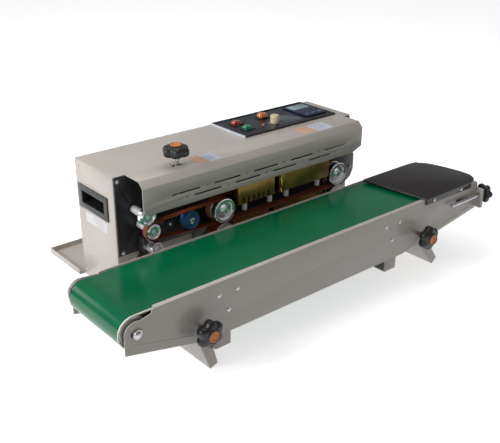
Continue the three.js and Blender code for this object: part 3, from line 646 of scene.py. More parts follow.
def repeated_mesh(name, points, tree, values, sharp=40.0):
    """Runs a repeat tree over (place, facing, along) triples; returns a plain mesh."""
    mesh = bpy.data.meshes.new(name)
    mesh.from_pydata([p for p, _, _ in points], [], [])
    for label, column in (("facing", 1), ("along", 2)):
        layer = mesh.attributes.new(label, "FLOAT_VECTOR", "POINT")
        layer.data.foreach_set("vector", [v for row in points for v in row[column]])
    source = bpy.data.objects.new(name, mesh)
    bpy.context.scene.collection.objects.link(source)
    modifier = source.modifiers.new("repeat", "NODES")
    modifier.node_group = tree
    for item in tree.interface.items_tree:
        if item.in_out == "INPUT" and item.name in values:
            modifier[item.identifier] = values[item.name]
    result = bake(source)
    for label in ("facing", "along"):
        if label in result.attributes:
            result.attributes.remove(result.attributes[label])
    bpy.data.objects.remove(source)
    mark_sharp(result, sharp)
    return result


def repeated_piece(name, points, tree, values, body):
    mesh = repeated_mesh(name, points, tree, values)
    piece = bpy.data.objects.new(name, mesh)
    bpy.context.scene.collection.objects.link(piece)
    return settle(piece, body)


def bolts(name, places, facing, radius, height, washer, body, finish_name="steel"):
    facing = Vector(facing)
    along = facing.orthogonal().normalized()
    tree = bpy.data.node_groups.get("domed_bolts") or repeat_tree(
        "domed_bolts", [("Head Radius", "NodeSocketFloat", 0.003),
                        ("Head Height", "NodeSocketFloat", 0.002),
                        ("Washer Radius", "NodeSocketFloat", 0.004),
                        ("Finish", "NodeSocketMaterial", None)], build_bolt)
    values = {"Head Radius": radius * MM, "Head Height": height * MM,
              "Washer Radius": washer * MM, "Finish": finish_for(finish_name)}
    return repeated_piece(name, [(at(*p), facing, along) for p in places], tree, values,
                          body)


def points_round(path, pitch, y, height):
    """Evenly spaced points round a closed path, with their directions."""
    spots = [Vector((x + nx * height, z + nz * height)) for x, z, nx, nz in path]
    total = sum((b - a).length for a, b in zip(spots, spots[1:] + spots[:1]))
    count = int(round(total / pitch))
    step = total / count
    rows, left = [], 0.0
    for index, start in enumerate(spots):
        end = spots[(index + 1) % len(spots)]
        span = (end - start).length
        while left < span:
            share = left / span
            spot = start.lerp(end, share)
            way = (end - start).normalized()
            rows.append((at(spot.x, y, spot.y), Vector((way.y, 0.0, -way.x)),
                         Vector((way.x, 0.0, way.y))))
            left += step
        left -= span
    return rows[:count]


# ------------------------------------------------------------------ operators


class SEALER_OT_stage(Operator):
    """Camera, soft light and a plain pale floor"""
    bl_idname = "sealer.stage"
    bl_label = "Stage"

    def execute(self, context):
        studio = context.scene.sealer_studio
        scene = context.scene
        scene.view_settings.view_transform = "Standard"
        self.add_camera(scene)
        world = bpy.data.worlds.new("room")
        scene.world = world
        world.use_nodes = True
        sky = world.node_tree.nodes["Background"]
        sky.inputs["Color"].default_value = (1.0, 1.0, 1.0, 1.0)
        sky.inputs["Strength"].default_value = studio.ambient
        self.area("key_light", (-2.6, 0.35, 1.5), 1.1, studio.key_power)
        self.area("top_light", (0.2, 0.7, 2.4), 2.2, studio.top_power)
        self.area("strip_light", (-1.3, 1.9, 0.9), 0.9, studio.top_power * 0.35)
        if studio.show_floor:
            self.add_floor()
            self.add_backdrop()
        return {"FINISHED"}

    def add_camera(self, scene):
        yaw, pitch, roll = 0.70657, 0.42999, 0.00709
        ahead = Vector((math.sin(yaw) * math.cos(pitch), math.cos(yaw) * math.cos(pitch),
                        -math.sin(pitch)))
        right = Vector((math.cos(yaw), -math.sin(yaw), 0.0))
        up = right.cross(ahead)
        level = (math.cos(roll), math.sin(roll))
        right, up = right * level[0] + up * level[1], up * level[0] - right * level[1]
        lens = bpy.data.cameras.new("camera")
        lens.lens = 55.75
        lens.sensor_width = 36.0
        lens.sensor_fit = "HORIZONTAL"
        camera = bpy.data.objects.new("camera", lens)
        scene.collection.objects.link(camera)
        turn = Matrix((right, up, -ahead)).transposed().to_4x4()
        camera.matrix_world = Matrix.Translation(at(-464.25, -814.86, 726.70)) @ turn
        scene.camera = camera

    def area(self, name, place, size, power):
        lamp = bpy.data.lights.new(name, "AREA")
        lamp.shape = "DISK"
        lamp.size = size
        lamp.energy = power
        light = bpy.data.objects.new(name, lamp)
        bpy.context.scene.collection.objects.link(light)
        light.location = place
        aim = Vector((0.0, 0.0, 0.14)) - light.location
        light.rotation_euler = aim.to_track_quat("-Z", "Y").to_euler()

    def add_backdrop(self):
        """A pale wall far off, seen past the edge of the floor; it lights nothing."""
        work = bmesh.new()
        lathe(work, "Z", (0.0, 0.0), [(13900.0, -2.0), (13900.0, 9000.0), (0.0, 9000.0)],
              segments=96)
        mesh = bpy.data.meshes.new("backdrop")
        work.to_mesh(mesh)
        work.free()
        wall = bpy.data.objects.new("backdrop", mesh)
        bpy.context.scene.collection.objects.link(wall)
        material = finish("pale_backdrop", (0.9, 0.9, 0.9), 0.9, mottle=0.004, patches=0.2,
                          bump=0.0)
        shader = material.node_tree.nodes["Principled BSDF"]
        shader.inputs["Emission Color"].default_value = (1.0, 1.0, 1.0, 1.0)
        shader.inputs["Emission Strength"].default_value = 0.85
        mesh.materials.append(material)
        wall.visible_diffuse = False
        wall.visible_glossy = False
        wall.visible_shadow = False

    def add_floor(self):
        mesh = bpy.data.meshes.new("floor")
        reach = 14.0
        mesh.from_pydata([(-reach, -reach, 0), (reach, -reach, 0), (reach, reach, 0),
                          (-reach, reach, 0)], [], [(0, 1, 2, 3)])
        floor = bpy.data.objects.new("floor", mesh)
        bpy.context.scene.collection.objects.link(floor)
        material = finish("pale_floor", (0.93, 0.93, 0.93), 0.8, mottle=0.004, patches=3.0,
                          bump=0.0)
        shader = material.node_tree.nodes["Principled BSDF"]
        shader.inputs["Emission Color"].default_value = (1.0, 1.0, 1.0, 1.0)
        shader.inputs["Emission Strength"].default_value = 0.62
        mesh.materials.append(material)
        # The floor is seen and mirrored but throws no light up, so the front stays in shade.
        floor.visible_diffuse = False


class SEALER_OT_carried_nodes(Operator):
    """Finishes on the nodes that keep their own shape"""
    bl_idname = "sealer.carried_nodes"
    bl_label = "Finish Carried Nodes"

    def execute(self, context):
        for part in frame["record"]["subparts"]:
            piece = frame["nodes"][part["node"]]
            material = finish_for(part["material_slot"])
            if not piece.data.materials:
                piece.data.materials.append(material)
            for slot in piece.material_slots:
                slot.link = "OBJECT"
                slot.material = material
        return {"FINISHED"}


class SEALER_OT_sheet_metal(Operator):
    """Panels, legs, feet and plates with eased edges"""
    bl_idname = "sealer.sheet_metal"
    bl_label = "Sheet Metal"

    def execute(self, context):
        ease = context.scene.sealer_sizes.edge_round
        for node in ("conveyor_front_plate", "conveyor_back_plate", "slider_bed",
                     "left_leg", "right_leg", "base_foot_left", "base_foot_right",
                     "rear_tray", "cabinet_shell", "rear_cover", "top_cover",
                     "mounting_plate", "block_hanger", "control_panel"):
            eased_copy(node, ease)
        eased_copy("end_table", 0.9 * MM, segments=3)
        for side in ("left", "right"):
            eased_copy(f"handle_cup_{side}", 0.8 * MM, segments=3)
        self.add_creases()
        return {"FINISHED"}

    def add_creases(self):
        """The pressed line that runs along both slanted lower edges of the front plate.

        It is flattened to stay within the plate, clear of the legs that swing behind it.
        """
        sunk, radius, flatness = 0.4, 2.0, 0.5
        work = bmesh.new()
        for start, end in (((16, 101.5), (118, 76.5)), ((682, 72.5), (815, 97.5))):
            rod(work, [(start[0], sunk, start[1]), (end[0], sunk, end[1])], radius, 20)
        middle = at(0, sunk, 0).y
        for vert in work.verts:
            vert.co.y = middle + flatness * (vert.co.y - middle)
        piece_from("front_plate_creases", work, finish_for("ivory_paint"), "frame")


class SEALER_OT_rollers(Operator):
    """Head and tail roller, turned smooth, with their axle ends"""
    bl_idname = "sealer.rollers"
    bl_label = "Rollers"

    def execute(self, context):
        for node, x, back in (("drive_roller", HEAD_X, 166.0), ("tail_roller", TAIL_X, 157.0)):
            work = bmesh.new()
            lathe(work, "Y", (x, ROLLER_Z), [(0, -3.5), (3.5, -3.5), (4, -3.0), (4, 6.5),
                                             (11, 6.5), (12, 8.5), (20, 8.5), (21, 6.5),
                                             (24.4, 6.5), (25, 7.1), (25, 144.4),
                                             (24.4, 145), (4, 145), (4, back), (0, back)])
            if node == "drive_roller":
                lathe(work, "Y", (x, ROLLER_Z), [(0, 156.5), (17.5, 156.5), (19, 158.2),
                                                 (19, 160.8), (17.5, 162.5), (0, 162.5)])
            piece_from(f"{node}_turned", work, finish_for("steel"), node, (node,))
        for node in ("output_shaft", "upper_drive_gear", "lower_drive_gear"):
            eased_copy(node, 0.25 * MM, sharp=28.0)
        return {"FINISHED"}


class SEALER_OT_conveyor_belt(Operator):
    """The green belt: glossy outside, pale fabric inside and at its cut edges, and a pale strip
    painted as highlight along the front of its outer face
    """
    bl_idname = "sealer.conveyor_belt"
    bl_label = "Conveyor Belt"

    def execute(self, context):
        path = loop_path([(HEAD_X, ROLLER_Z, 25.3), (TAIL_X, ROLLER_Z, 25.3)], 40, 12.0)
        work = bmesh.new()
        # Material 1 is the pale fabric on the inner face and both cut edges. It also covers the
        # front 2.4 mm of the carrying face, where it is a painted highlight that makes the front
        # edge read bright.
        sweep(work, path, [(5.5, 0.0), (5.5, 1.5), (5.8, 1.8), (8.2, 1.8), (143.8, 1.8),
                           (145.7, 1.8), (146, 1.5), (146, 0.0)],
              [1, 1, 1, 0, 0, 0, 1, 1])
        piece_from("conveyor_belt_loop", work,
                   [finish_for("green_belt"), extra_finish("pale_fabric_and_edge_highlight")], "frame",
                   ("conveyor_belt",))
        return {"FINISHED"}


class SEALER_OT_band_wheels(Operator):
    """Four chromed band wheels with recessed faces and hub nuts"""
    bl_idname = "sealer.band_wheels"
    bl_label = "Band Wheels"

    def execute(self, context):
        ends = {"upper_left": 244.0, "upper_right": 232.0, "lower_right": 232.0,
                "lower_left": 256.0}
        guide_seat = BAND_OUTER - GUIDE_THICK - 0.3
        seal_seat = BAND_OUTER - SEAL_THICK - 0.3
        for name, shaft_end in ends.items():
            level, side = name.split("_")
            centre = (WHEEL_X[side], WHEEL_Z[level])
            work = bmesh.new()
            lathe(work, "Y", centre, [
                (0, 177.6), (7.6, 177.6), (8.4, 178), (14.8, 178), (15.6, 177.4),
                (16.9, 174), (17.8, 173.2), (21.6, 173.0), (22.6, 173.3), (23, 174),
                (22.8, 175.1), (guide_seat, 175.3), (guide_seat, 187.5),
                (seal_seat, 187.8), (seal_seat, 203), (6, 203), (6, shaft_end),
                (0, shaft_end)])
            # The hub nut is six-sided.
            lathe(work, "Y", centre, [(0, 172.2), (5.4, 172.2), (6.4, 172.9), (6.4, 178.2),
                                      (0, 178.2)], segments=6)
            lathe(work, "Y", centre, [(0, 171.5), (2.4, 171.5), (2.9, 172.0), (2.9, 174),
                                      (0, 174)], segments=24)
            if name == "lower_left":
                lathe(work, "Y", centre, [(0, 247), (17.5, 247.4), (17.5, 252.6), (0, 253)])
            node = f"{name}_wheel"
            piece_from(f"{node}_turned", work, finish_for("chrome"), node, (node,))
        return {"FINISHED"}


class SEALER_OT_pulleys(Operator):
    """Nose pulley, tension pulley and support roller"""
    bl_idname = "sealer.pulleys"
    bl_label = "Pulleys"

    def execute(self, context):
        tyre = math.hypot(10.0, 30.0) - NOSE[2] - GUIDE_THICK - 0.6
        pulleys = {
            "nose_pulley": (NOSE[:2], [(10.4, 173.8), (11.4, 174.2), (13.4, 175.4),
                                       (13.4, 189), (7.5, 189.4)]),
            "tension_pulley": ((161.0, 201.5), [(11.8, 173.8), (12.8, 174.3),
                                                (tyre, 175.8), (tyre, 182.4),
                                                (tyre - 1.2, 183.2), (7.5, 183.6)]),
        }
        for node, (centre, rim) in pulleys.items():
            back = rim[-1][1]
            work = bmesh.new()
            lathe(work, "Y", centre, [(0, 175.6), (9.6, 175.6), (10.1, 174.4)] + rim
                  + [(0, back)])
            lathe(work, "Y", centre, [(0, 173.2), (2.8, 173.2), (3.4, 173.8), (3.4, 176.0),
                                      (0, 176.0)], segments=6, material=1)
            lathe(work, "Y", centre, [(0, back - 0.6), (6.8, back - 0.6), (6.8, 219.8),
                                      (6.2, 220.6), (4, 220.8), (4, 232), (0, 232)],
                  material=1)
            piece_from(f"{node}_turned", work,
                       [finish_for("chrome"), extra_finish("bright_shaft")], node,
                       (node,))
        work = bmesh.new()
        lathe(work, "Y", SUPPORT, [
            (0, 172), (4.4, 172), (5, 172.6), (5, 174.2), (8.6, 174.2), (9.2, 173.6),
            (10.8, 173.6), (11.8, 174.6), (11.8, 186), (11.2, 186.5), (11.2, 187.5),
            (11.8, 188), (11.8, 200.2), (11, 201), (5, 201), (5, 212), (0, 212)])
        piece_from("support_roller_turned", work, finish_for("chrome"), "support_roller",
                   ("support_roller",))
        eased_copy("support_bracket", 0.6 * MM)
        return {"FINISHED"}


class SEALER_OT_bands(Operator):
    """Two smooth sealing bands and two toothed guide belts"""
    bl_idname = "sealer.bands"
    bl_label = "Bands"

    def execute(self, context):
        seal = BAND_OUTER - SEAL_THICK
        guide = BAND_OUTER - GUIDE_THICK
        pair = lambda z, r: [(WHEEL_X["left"], z, r), (WHEEL_X["right"], z, r)]
        for level in ("upper", "lower"):
            work = bmesh.new()
            sweep(work, loop_path(pair(WHEEL_Z[level], seal), 32, 12.0),
                  strip_section(189, 202, 0.0, SEAL_THICK, 0.2), [0] * 6)
            node = f"{level}_seal_band"
            piece_from(f"{node}_loop", work, finish_for("brown_band"), "frame",
                       (node,))
        upper = [(NOSE[0], NOSE[1], NOSE[2] + 0.3),
                 (WHEEL_X["left"], WHEEL_Z["upper"], guide)]
        self.toothed("upper_guide_belt", upper, context)
        self.toothed("lower_guide_belt", pair(WHEEL_Z["lower"], guide), context)
        return {"FINISHED"}

    def toothed(self, node, circles, context):
        sizes = context.scene.sealer_sizes
        root = sizes.tooth_height / MM
        path = loop_path(circles, 32, 10.0)
        work = bmesh.new()
        sweep(work, path, strip_section(175.8, 187, root, GUIDE_THICK, 0.3), [0] * 6)
        tree = bpy.data.node_groups.get("belt_teeth") or repeat_tree(
            "belt_teeth", [("Length", "NodeSocketFloat", 0.0016),
                           ("Width", "NodeSocketFloat", 0.011),
                           ("Height", "NodeSocketFloat", 0.0008),
                           ("Finish", "NodeSocketMaterial", None)], build_tooth)
        rows = points_round(path, sizes.tooth_pitch / MM, (175.8 + 187) / 2, root * 0.56)
        teeth = repeated_mesh("teeth", rows, tree,
                              {"Length": sizes.tooth_pitch * 0.5, "Width": 11.0 * MM,
                               "Height": sizes.tooth_height * 0.98,
                               "Finish": finish_for("brown_band")})
        belt = bpy.data.meshes.new("belt")
        bmesh.ops.recalc_face_normals(work, faces=work.faces)
        work.to_mesh(belt)
        work.free()
        both = bmesh.new()
        both.from_mesh(belt)
        both.from_mesh(teeth)
        piece_from(f"{node}_toothed", both, finish_for("brown_band"), "frame",
                   (node,))


class SEALER_OT_chains(Operator):
    """Roller chains made link by link"""
    bl_idname = "sealer.chains"
    bl_label = "Chains"

    def execute(self, context):
        pitch = context.scene.sealer_sizes.link_pitch
        tree = repeat_tree("chain_links", [
            ("Roller Radius", "NodeSocketFloat", 0.0013), ("Width", "NodeSocketFloat", 0.006),
            ("Plate Length", "NodeSocketFloat", 0.006),
            ("Plate Height", "NodeSocketFloat", 0.0027),
            ("Finish", "NodeSocketMaterial", None)], build_link)
        runs = {"conveyor_chain": ([(HEAD_X, ROLLER_Z, 19.15), (172, 102, 19.15)], 159.5),
                "head_chain": ([(172, 102, 20.15), (321, 121.5, 17.65)], 250.0)}
        for node, (circles, y) in runs.items():
            rows = points_round(loop_path(circles, 24, 6.0), pitch / MM / 2, y, 1.5)
            piece = repeated_piece(f"{node}_links", rows, tree, {
                "Roller Radius": 1.3 * MM, "Width": 5.6 * MM, "Plate Length": pitch * 0.46,
                "Plate Height": 2.7 * MM, "Finish": finish_for("steel")}, "frame")
            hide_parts(node)
        return {"FINISHED"}


class SEALER_OT_star_knobs(Operator):
    """Four lobed clamping knobs with orange caps"""
    bl_idname = "sealer.star_knobs"
    bl_label = "Star Knobs"

    def execute(self, context):
        # node, axis, centre, underside, outward direction, radius, height, stem end, stem radius
        knobs = (("left_leg_knob", "Y", (133.4, 85.6), -15.0, -1, 24.0, 21.0, 11.0, 4.0),
                 ("right_leg_knob", "Y", (659.0, 84.8), -15.0, -1, 24.0, 21.0, 11.0, 4.0),
                 ("tension_knob", "X", (-8.5, 122.0), 846.0, 1, 20.0, 15.0, 746.0, 3.6),
                 ("pressure_knob", "Z", (242.0, 206.0), 282.0, 1, 24.0, 20.0, 188.0, 4.0))
        for knob in knobs:
            self.add_knob(context, *knob)
        return {"FINISHED"}

    def add_knob(self, context, node, axis, centre, foot, way, radius, height, tip, stem):
        lobes = context.scene.sealer_sizes.knob_lobes
        up = lambda share: foot + way * height * share
        phase = math.pi / lobes if axis == "Y" else 0.0
        # Share of full height, share of full radius, share of the lobe depth.
        skin = [(0.00, 0.42, 0.0), (0.02, 0.72, 0.5), (0.05, 0.86, 1.0), (0.12, 0.95, 1.0),
                (0.22, 0.99, 1.0), (0.34, 1.00, 1.0), (0.52, 1.00, 1.0), (0.64, 0.97, 1.0),
                (0.73, 0.91, 1.0), (0.80, 0.82, 0.9), (0.85, 0.70, 0.6), (0.88, 0.60, 0.2),
                (0.90, 0.52, 0.0), (0.97, 0.49, 0.0), (0.985, 0.47, 0.0), (0.985, 0.44, 0.0),
                (0.86, 0.43, 0.0), (0.86, 0.0, 0.0)]
        profile = [(0.0, foot - way * 4.0), (radius * 0.34, foot - way * 4.0),
                   (radius * 0.38, foot - way * 3.0)]
        lead = len(profile)
        profile += [(radius * r, up(h)) for h, r, _ in skin]

        def shape(angle, index):
            if index < lead:
                return 1.0
            depth = skin[index - lead][2]
            return 1.0 - 0.19 * depth * (0.5 - 0.5 * math.cos(lobes * (angle + phase))) ** 1.3

        work = bmesh.new()
        lathe(work, axis, centre, profile, segments=96, shape=shape)
        lathe(work, axis, centre, [(0, foot), (stem, foot), (stem, tip + way * 0.8),
                                   (stem - 0.7, tip), (0, tip)], segments=32, material=1)
        piece_from(f"{node}_lobed", work, [finish_for("black_plastic"), finish_for("steel")],
                   node, (node,), sharp=50.0)
        cap = bmesh.new()
        reach = radius * 0.415
        lathe(cap, axis, centre, [(0, up(0.87)), (reach, up(0.87)), (reach, up(0.955)),
                                  (reach * 0.94, up(0.985)), (reach * 0.74, up(0.985)),
                                  (reach * 0.66, up(0.945)), (reach * 0.2, up(0.935)),
                                  (0, up(0.935))], segments=48)
        piece_from(f"{node}_cap", cap, extra_finish("knob_cap"), node,
                   sharp=50.0)


class SEALER_OT_press(Operator):
    """The ribbed press wheel and its arm"""
    bl_idname = "sealer.press"
    bl_label = "Press Wheel"

    def execute(self, context):
        centre = PRESS
        work = bmesh.new()
        lathe(work, "Y", centre, [
            (5, 176.2), (6.2, 176.0), (6.8, 177.0), (8.2, 177.0), (8.8, 176.1), (10, 176.0),
            (10.6, 177.0), (11.8, 177.0), (12.4, 176.1), (13.8, 176.0), (14.4, 176.9),
            (15.2, 176.9), (15.8, 176.2), (16.4, 176.4), (16.8, 177.2), (16.8, 189.4),
            (16.2, 190), (5, 190), (5, 176.2)])
        lathe(work, "Y", centre, [(0, 173.5), (3.6, 173.5), (4.8, 174.4), (5, 176.4),
                                  (5, 196), (0, 196)], segments=48, material=1)
        piece_from("press_wheel_ribbed", work,
                   [finish_for("blue_plastic"), finish_for("chrome")], "press_wheel",
                   ("press_wheel",))
        eased_copy("press_arm", 0.6 * MM)
        pin = bmesh.new()
        lathe(pin, "Y", (204.4, 176.0), [(0, 175.2), (1.6, 175.2), (2.2, 175.7),
                                         (2.2, 178), (0, 178)], segments=24)
        piece_from("press_arm_pin", pin, finish_for("white_plastic"), "press_arm")
        return {"FINISHED"}


class SEALER_OT_blocks(Operator):
    """Cooling and heating blocks, their posts, sleeves, springs and sensor lead"""
    bl_idname = "sealer.blocks"
    bl_label = "Blocks"

    def execute(self, context):
        for kind, posts in POSTS.items():
            node = f"upper_{kind}_block"
            block_piece = eased_copy(node, 0.4 * MM)
            block_piece.data.materials.append(extra_finish("blackened_brass"))
            sole_y = at(0, 188.6, 0).y
            for face in block_piece.data.polygons:
                if face.center.y > sole_y:
                    face.material_index = 1
            sleeves = bmesh.new()
            for x in posts:
                lathe(sleeves, "Z", (x, POST_Y), [(3.3, 155.2), (4.6, 155.2), (5, 155.8),
                                                  (5, 167.2), (4.6, 167.8), (3.3, 167.8),
                                                  (3.3, 155.2)], segments=32)
                lathe(sleeves, "Z", (x, POST_Y), [(0, 154.4), (2.6, 154.4), (3.2, 155),
                                                  (3.2, 156.5), (0, 156.5)], segments=24)
            piece_from(f"{kind}_post_sleeves", sleeves, finish_for("white_plastic"), node)
            springs = bmesh.new()
            for x in posts:
                turns, steps = 5, 16
                rod(springs, [(x + 5.0 * math.cos(2 * math.pi * k / steps),
                               POST_Y + 5.0 * math.sin(2 * math.pi * k / steps),
                               208.8 + 12.0 * k / (turns * steps))
                              for k in range(turns * steps + 1)], 0.6, 8)
            piece_from(f"{kind}_post_springs", springs, finish_for("steel"), "frame")
            eased_copy(f"lower_{kind}_block", 0.4 * MM)
        lead = bmesh.new()
        lead_x, lead_y, lead_top, wave, drop = 454.5, 171.3, 206, 1.4, 3.2
        rod(lead, [(lead_x, lead_y + wave * math.sin(k * 0.9), lead_top - drop * k)
                   for k in range(12)], 1.3, 10)
        piece_from("sensor_lead", lead, extra_finish("gilt_wire"), "frame")
        return {"FINISHED"}


class SEALER_OT_panel(Operator):
    """Switches, dial, lamp and temperature controller on the top panel"""
    bl_idname = "sealer.panel"
    bl_label = "Control Panel"
    SWITCHES = {"power_switch": (460.0, 312.0), "heater_switch": (459.0, 276.0),
                "fan_switch": (530.0, 314.0)}

    def execute(self, context):
        self.add_lens("power_switch", 9.2, 7.4, 5.0, 2.3)
        self.add_lens("heater_switch", 9.2, 7.4, 5.0, 2.3)
        self.add_lens("fan_switch", 11.2, 8.8, 6.4, 3.0)
        self.add_bezels()
        self.add_dial()
        self.add_lamp()
        self.add_controller()
        return {"FINISHED"}

    def add_lens(self, node, half_x, half_y, height, rise):
        """A see-through rocker: a saddle-topped oval on its switch, leaning as the switch does."""
        eased_copy(node, 0.8 * MM, segments=3, sharp=60.0)
        x, y = self.SWITCHES[node]
        rings, sides = 9, 40
        lean = -math.tan(math.radians(8.0))
        work = bmesh.new()
        levels = []
        for ring in range(rings + 1):
            reach = 1.0 - ring / rings
            row = []
            for step in range(sides):
                a = 2 * math.pi * step / sides
                dx = half_x * reach * math.copysign(abs(math.cos(a)) ** 0.75, math.cos(a))
                dy = half_y * reach * math.copysign(abs(math.sin(a)) ** 0.75, math.sin(a))
                dome = height * math.sqrt(1.0 - reach ** 5)
                saddle = 1.3 * (dx / half_x) ** 2 * (1.0 - reach ** 5)
                row.append(work.verts.new(at(x + dx, y + dy, PANEL_TOP + rise + dome
                                             + saddle + lean * dx)))
            levels.append(row)
        for low, high in zip(levels, levels[1:]):
            for k in range(sides):
                after = (k + 1) % sides
                work.faces.new((low[k], low[after], high[after], high[k]))
        work.faces.new(levels[0][::-1])
        piece_from(f"{node}_lens", work, finish_for(slot_of_node(node)), body_of_node(node),
                   sharp=50.0)

    def add_bezels(self):
        """A raised frame around each switch, and the border around the whole panel."""
        inner_x, outer_x, inner_y, outer_y = 10.3, 12.4, 7.9, 9.6
        work = bmesh.new()
        for x, y in self.SWITCHES.values():
            for x0, x1, y0, y1 in ((-outer_x, -inner_x, -outer_y, outer_y),
                                   (inner_x, outer_x, -outer_y, outer_y),
                                   (-inner_x, inner_x, -outer_y, -inner_y),
                                   (-inner_x, inner_x, inner_y, outer_y)):
                block(work, (x + x0, x + x1), (y + y0, y + y1),
                      (PANEL_TOP - 0.2, PANEL_TOP + 1.5))
        piece_from("switch_bezels", work, finish_for("black_plastic"), "frame",
                   ease=0.3 * MM)
        edge = bmesh.new()
        x0, x1, y0, y1 = 427.2, 665.8, 242.2, 347.8
        wide = 5.0
        for a, b, c, d in ((x0, x1, y0, y0 + wide), (x0, x1, y1 - wide, y1),
                           (x0, x0 + wide, y0 + wide, y1 - wide),
                           (x1 - wide, x1, y0 + wide, y1 - wide)):
            block(edge, (a, b), (c, d), (PANEL_TOP - 0.1, PANEL_TOP + 0.9))
        piece_from("panel_border", edge, finish_for("black_steel"), "frame",
                   ease=0.2 * MM)
        trim = bmesh.new()
        block(trim, (424.2, 426.8), (242, 348), (HOOD_TOP - 0.1, PANEL_TOP + 0.7))
        piece_from("panel_trim", trim, extra_finish("trim_metal"), "frame",
                   ease=0.4 * MM)

    def add_dial(self):
        x, y = 524.0, 270.0
        plate = bmesh.new()
        block(plate, (544, 590), (256, 300), (PANEL_TOP - 0.1, PANEL_TOP + 0.3))
        piece_from("dial_plate", plate, extra_finish("dial_plate"), "frame",
                   ease=0.15 * MM)
        marks = bmesh.new()
        for step in range(11):
            angle = math.radians(-50.0 + 28.0 * step)
            way = Vector((-math.cos(angle), -math.sin(angle)))
            rod(marks, [(x + way.x * 11.2, y - way.y * 11.2, PANEL_TOP + 0.15),
                        (x + way.x * 13.6, y - way.y * 13.6, PANEL_TOP + 0.15)], 0.35, 6)
        piece_from("dial_marks", marks, extra_finish("panel_line"), "frame")
        knob = bmesh.new()
        flutes = lambda angle, index: 1.0 - (0.035 * (0.5 - 0.5 * math.cos(24 * angle))
                                             if 3 <= index <= 7 else 0.0)
        lathe(knob, "Z", (x, y), [(0, 253.2), (3, 253.2), (3, 267.9), (8.6, 267.9),
                                  (9, 268.4), (9, 271), (8.9, 281.6), (8.6, 283.4),
                                  (7.8, 284.4), (6.4, 284.6), (0, 284.6)],
              segments=96, shape=flutes)
        block(knob, (x - 0.5, x + 0.5), (y - 8.4, y - 1), (284.0, 284.59), material=1)
        piece_from("speed_knob_fluted", knob,
                   [finish_for("cream_plastic"), finish_for("black_plastic")],
                   "speed_knob", ("speed_knob",), sharp=40.0)

    def add_lamp(self):
        work = bmesh.new()
        lathe(work, "Z", (496.0, 271.0), [(0, 267.5), (4.2, 267.5), (4.2, 268.6),
                                          (3.4, 269.2), (3.2, 270.6), (2.4, 272.0),
                                          (1.2, 272.7), (0, 272.9)], segments=32)
        piece_from("panel_lamp", work, extra_finish("lamp_amber"), "frame",
                   sharp=60.0)

    def add_controller(self):
        eased_copy("temperature_controller", 0.5 * MM)
        for number in (1, 2, 3):
            eased_copy(f"controller_key_{number}", 0.6 * MM, extra_finish("key_cap"), 3)
        window = bmesh.new()
        block(window, (607, 651), (303, 327), (270.4, 270.9))
        piece_from("display_window", window, extra_finish("display_window"), "frame",
                   ease=0.15 * MM)
        digits = bmesh.new()
        shown = {0: "abcdef", 1: "bc", 5: "acdfg"}
        for place, digit in enumerate((1, 5, 0)):
            x, y, w, h = 614 + place * 11.5, 307.0, 6.5, 8.0
            bars = {"a": (0, w, 2 * h - 1, 2 * h), "g": (0, w, h - 0.5, h + 0.5),
                    "d": (0, w, 0, 1), "f": (0, 1, h, 2 * h), "b": (w - 1, w, h, 2 * h),
                    "e": (0, 1, 0, h), "c": (w - 1, w, 0, h)}
            for name in shown[digit]:
                a, b, c, d = bars[name]
                block(digits, (x + a, x + b), (y + c, y + d), (270.85, 271.0))
        piece_from("display_digits", digits, extra_finish("display_digit"), "frame")


class SEALER_OT_fasteners(Operator):
    """Bolts and screws over the whole machine"""
    bl_idname = "sealer.fasteners"
    bl_label = "Fasteners"

    def execute(self, context):
        front, back, left, right, up = ((0, -1, 0), (0, 1, 0), (-1, 0, 0), (1, 0, 0),
                                        (0, 0, 1))
        bolts("front_plate_bolts", [(170, -0.3, 127.6), (207, -0.3, 127.8),
                                    (189, -0.3, 96.4), (560, -0.3, 127.6),
                                    (598, -0.3, 127.6), (579, -0.3, 96.4)],
              front, 3.0, 1.9, 3.6, "frame")
        bolts("head_axle_nut", [(HEAD_X, -3.3, ROLLER_Z)], front, 6.2, 4.2, 7.6,
              "drive_roller")
        bolts("tail_axle_nut", [(TAIL_X, -3.3, ROLLER_Z)], front, 4.4, 2.6, 5.2,
              "tail_roller")
        bolts("end_table_screws", [(694, -3.4, 147.3), (779, -3.4, 147.3)], front, 3.0, 1.8,
              3.4, "frame")
        bolts("black_plate_bolts", [(134, 221.2, 256), (136.7, 221.2, 125),
                                    (680, 221.2, 232), (697, 221.2, 150)], front, 3.0, 2.2,
              3.6, "frame")
        bolts("panel_corner_bolts", [(432.5, 247.5, 267.7), (660.5, 247.5, 267.7),
                                     (432.5, 342.5, 267.7), (660.5, 342.5, 267.7)], up,
              2.1, 1.5, 2.6, "frame", "black_steel")
        bolts("left_panel_screws", [(127.3, 236, 252), (127.3, 340, 252), (127.3, 236, 50),
                                    (127.3, 340, 50)], left, 2.2, 1.3, 2.5, "frame")
        bolts("right_panel_screws", [(690.2, 236, 252), (690.2, 340, 252),
                                     (690.2, 236, 50), (690.2, 340, 50)], right, 2.2, 1.3,
              2.5, "frame")
        bolts("rear_cover_screws", [(136, 350.2, 255), (136, 350.2, 56), (681, 350.2, 255),
                                    (681, 350.2, 56), (408, 350.2, 255), (408, 350.2, 56)],
              back, 2.4, 1.5, 2.8, "frame")
        return {"FINISHED"}


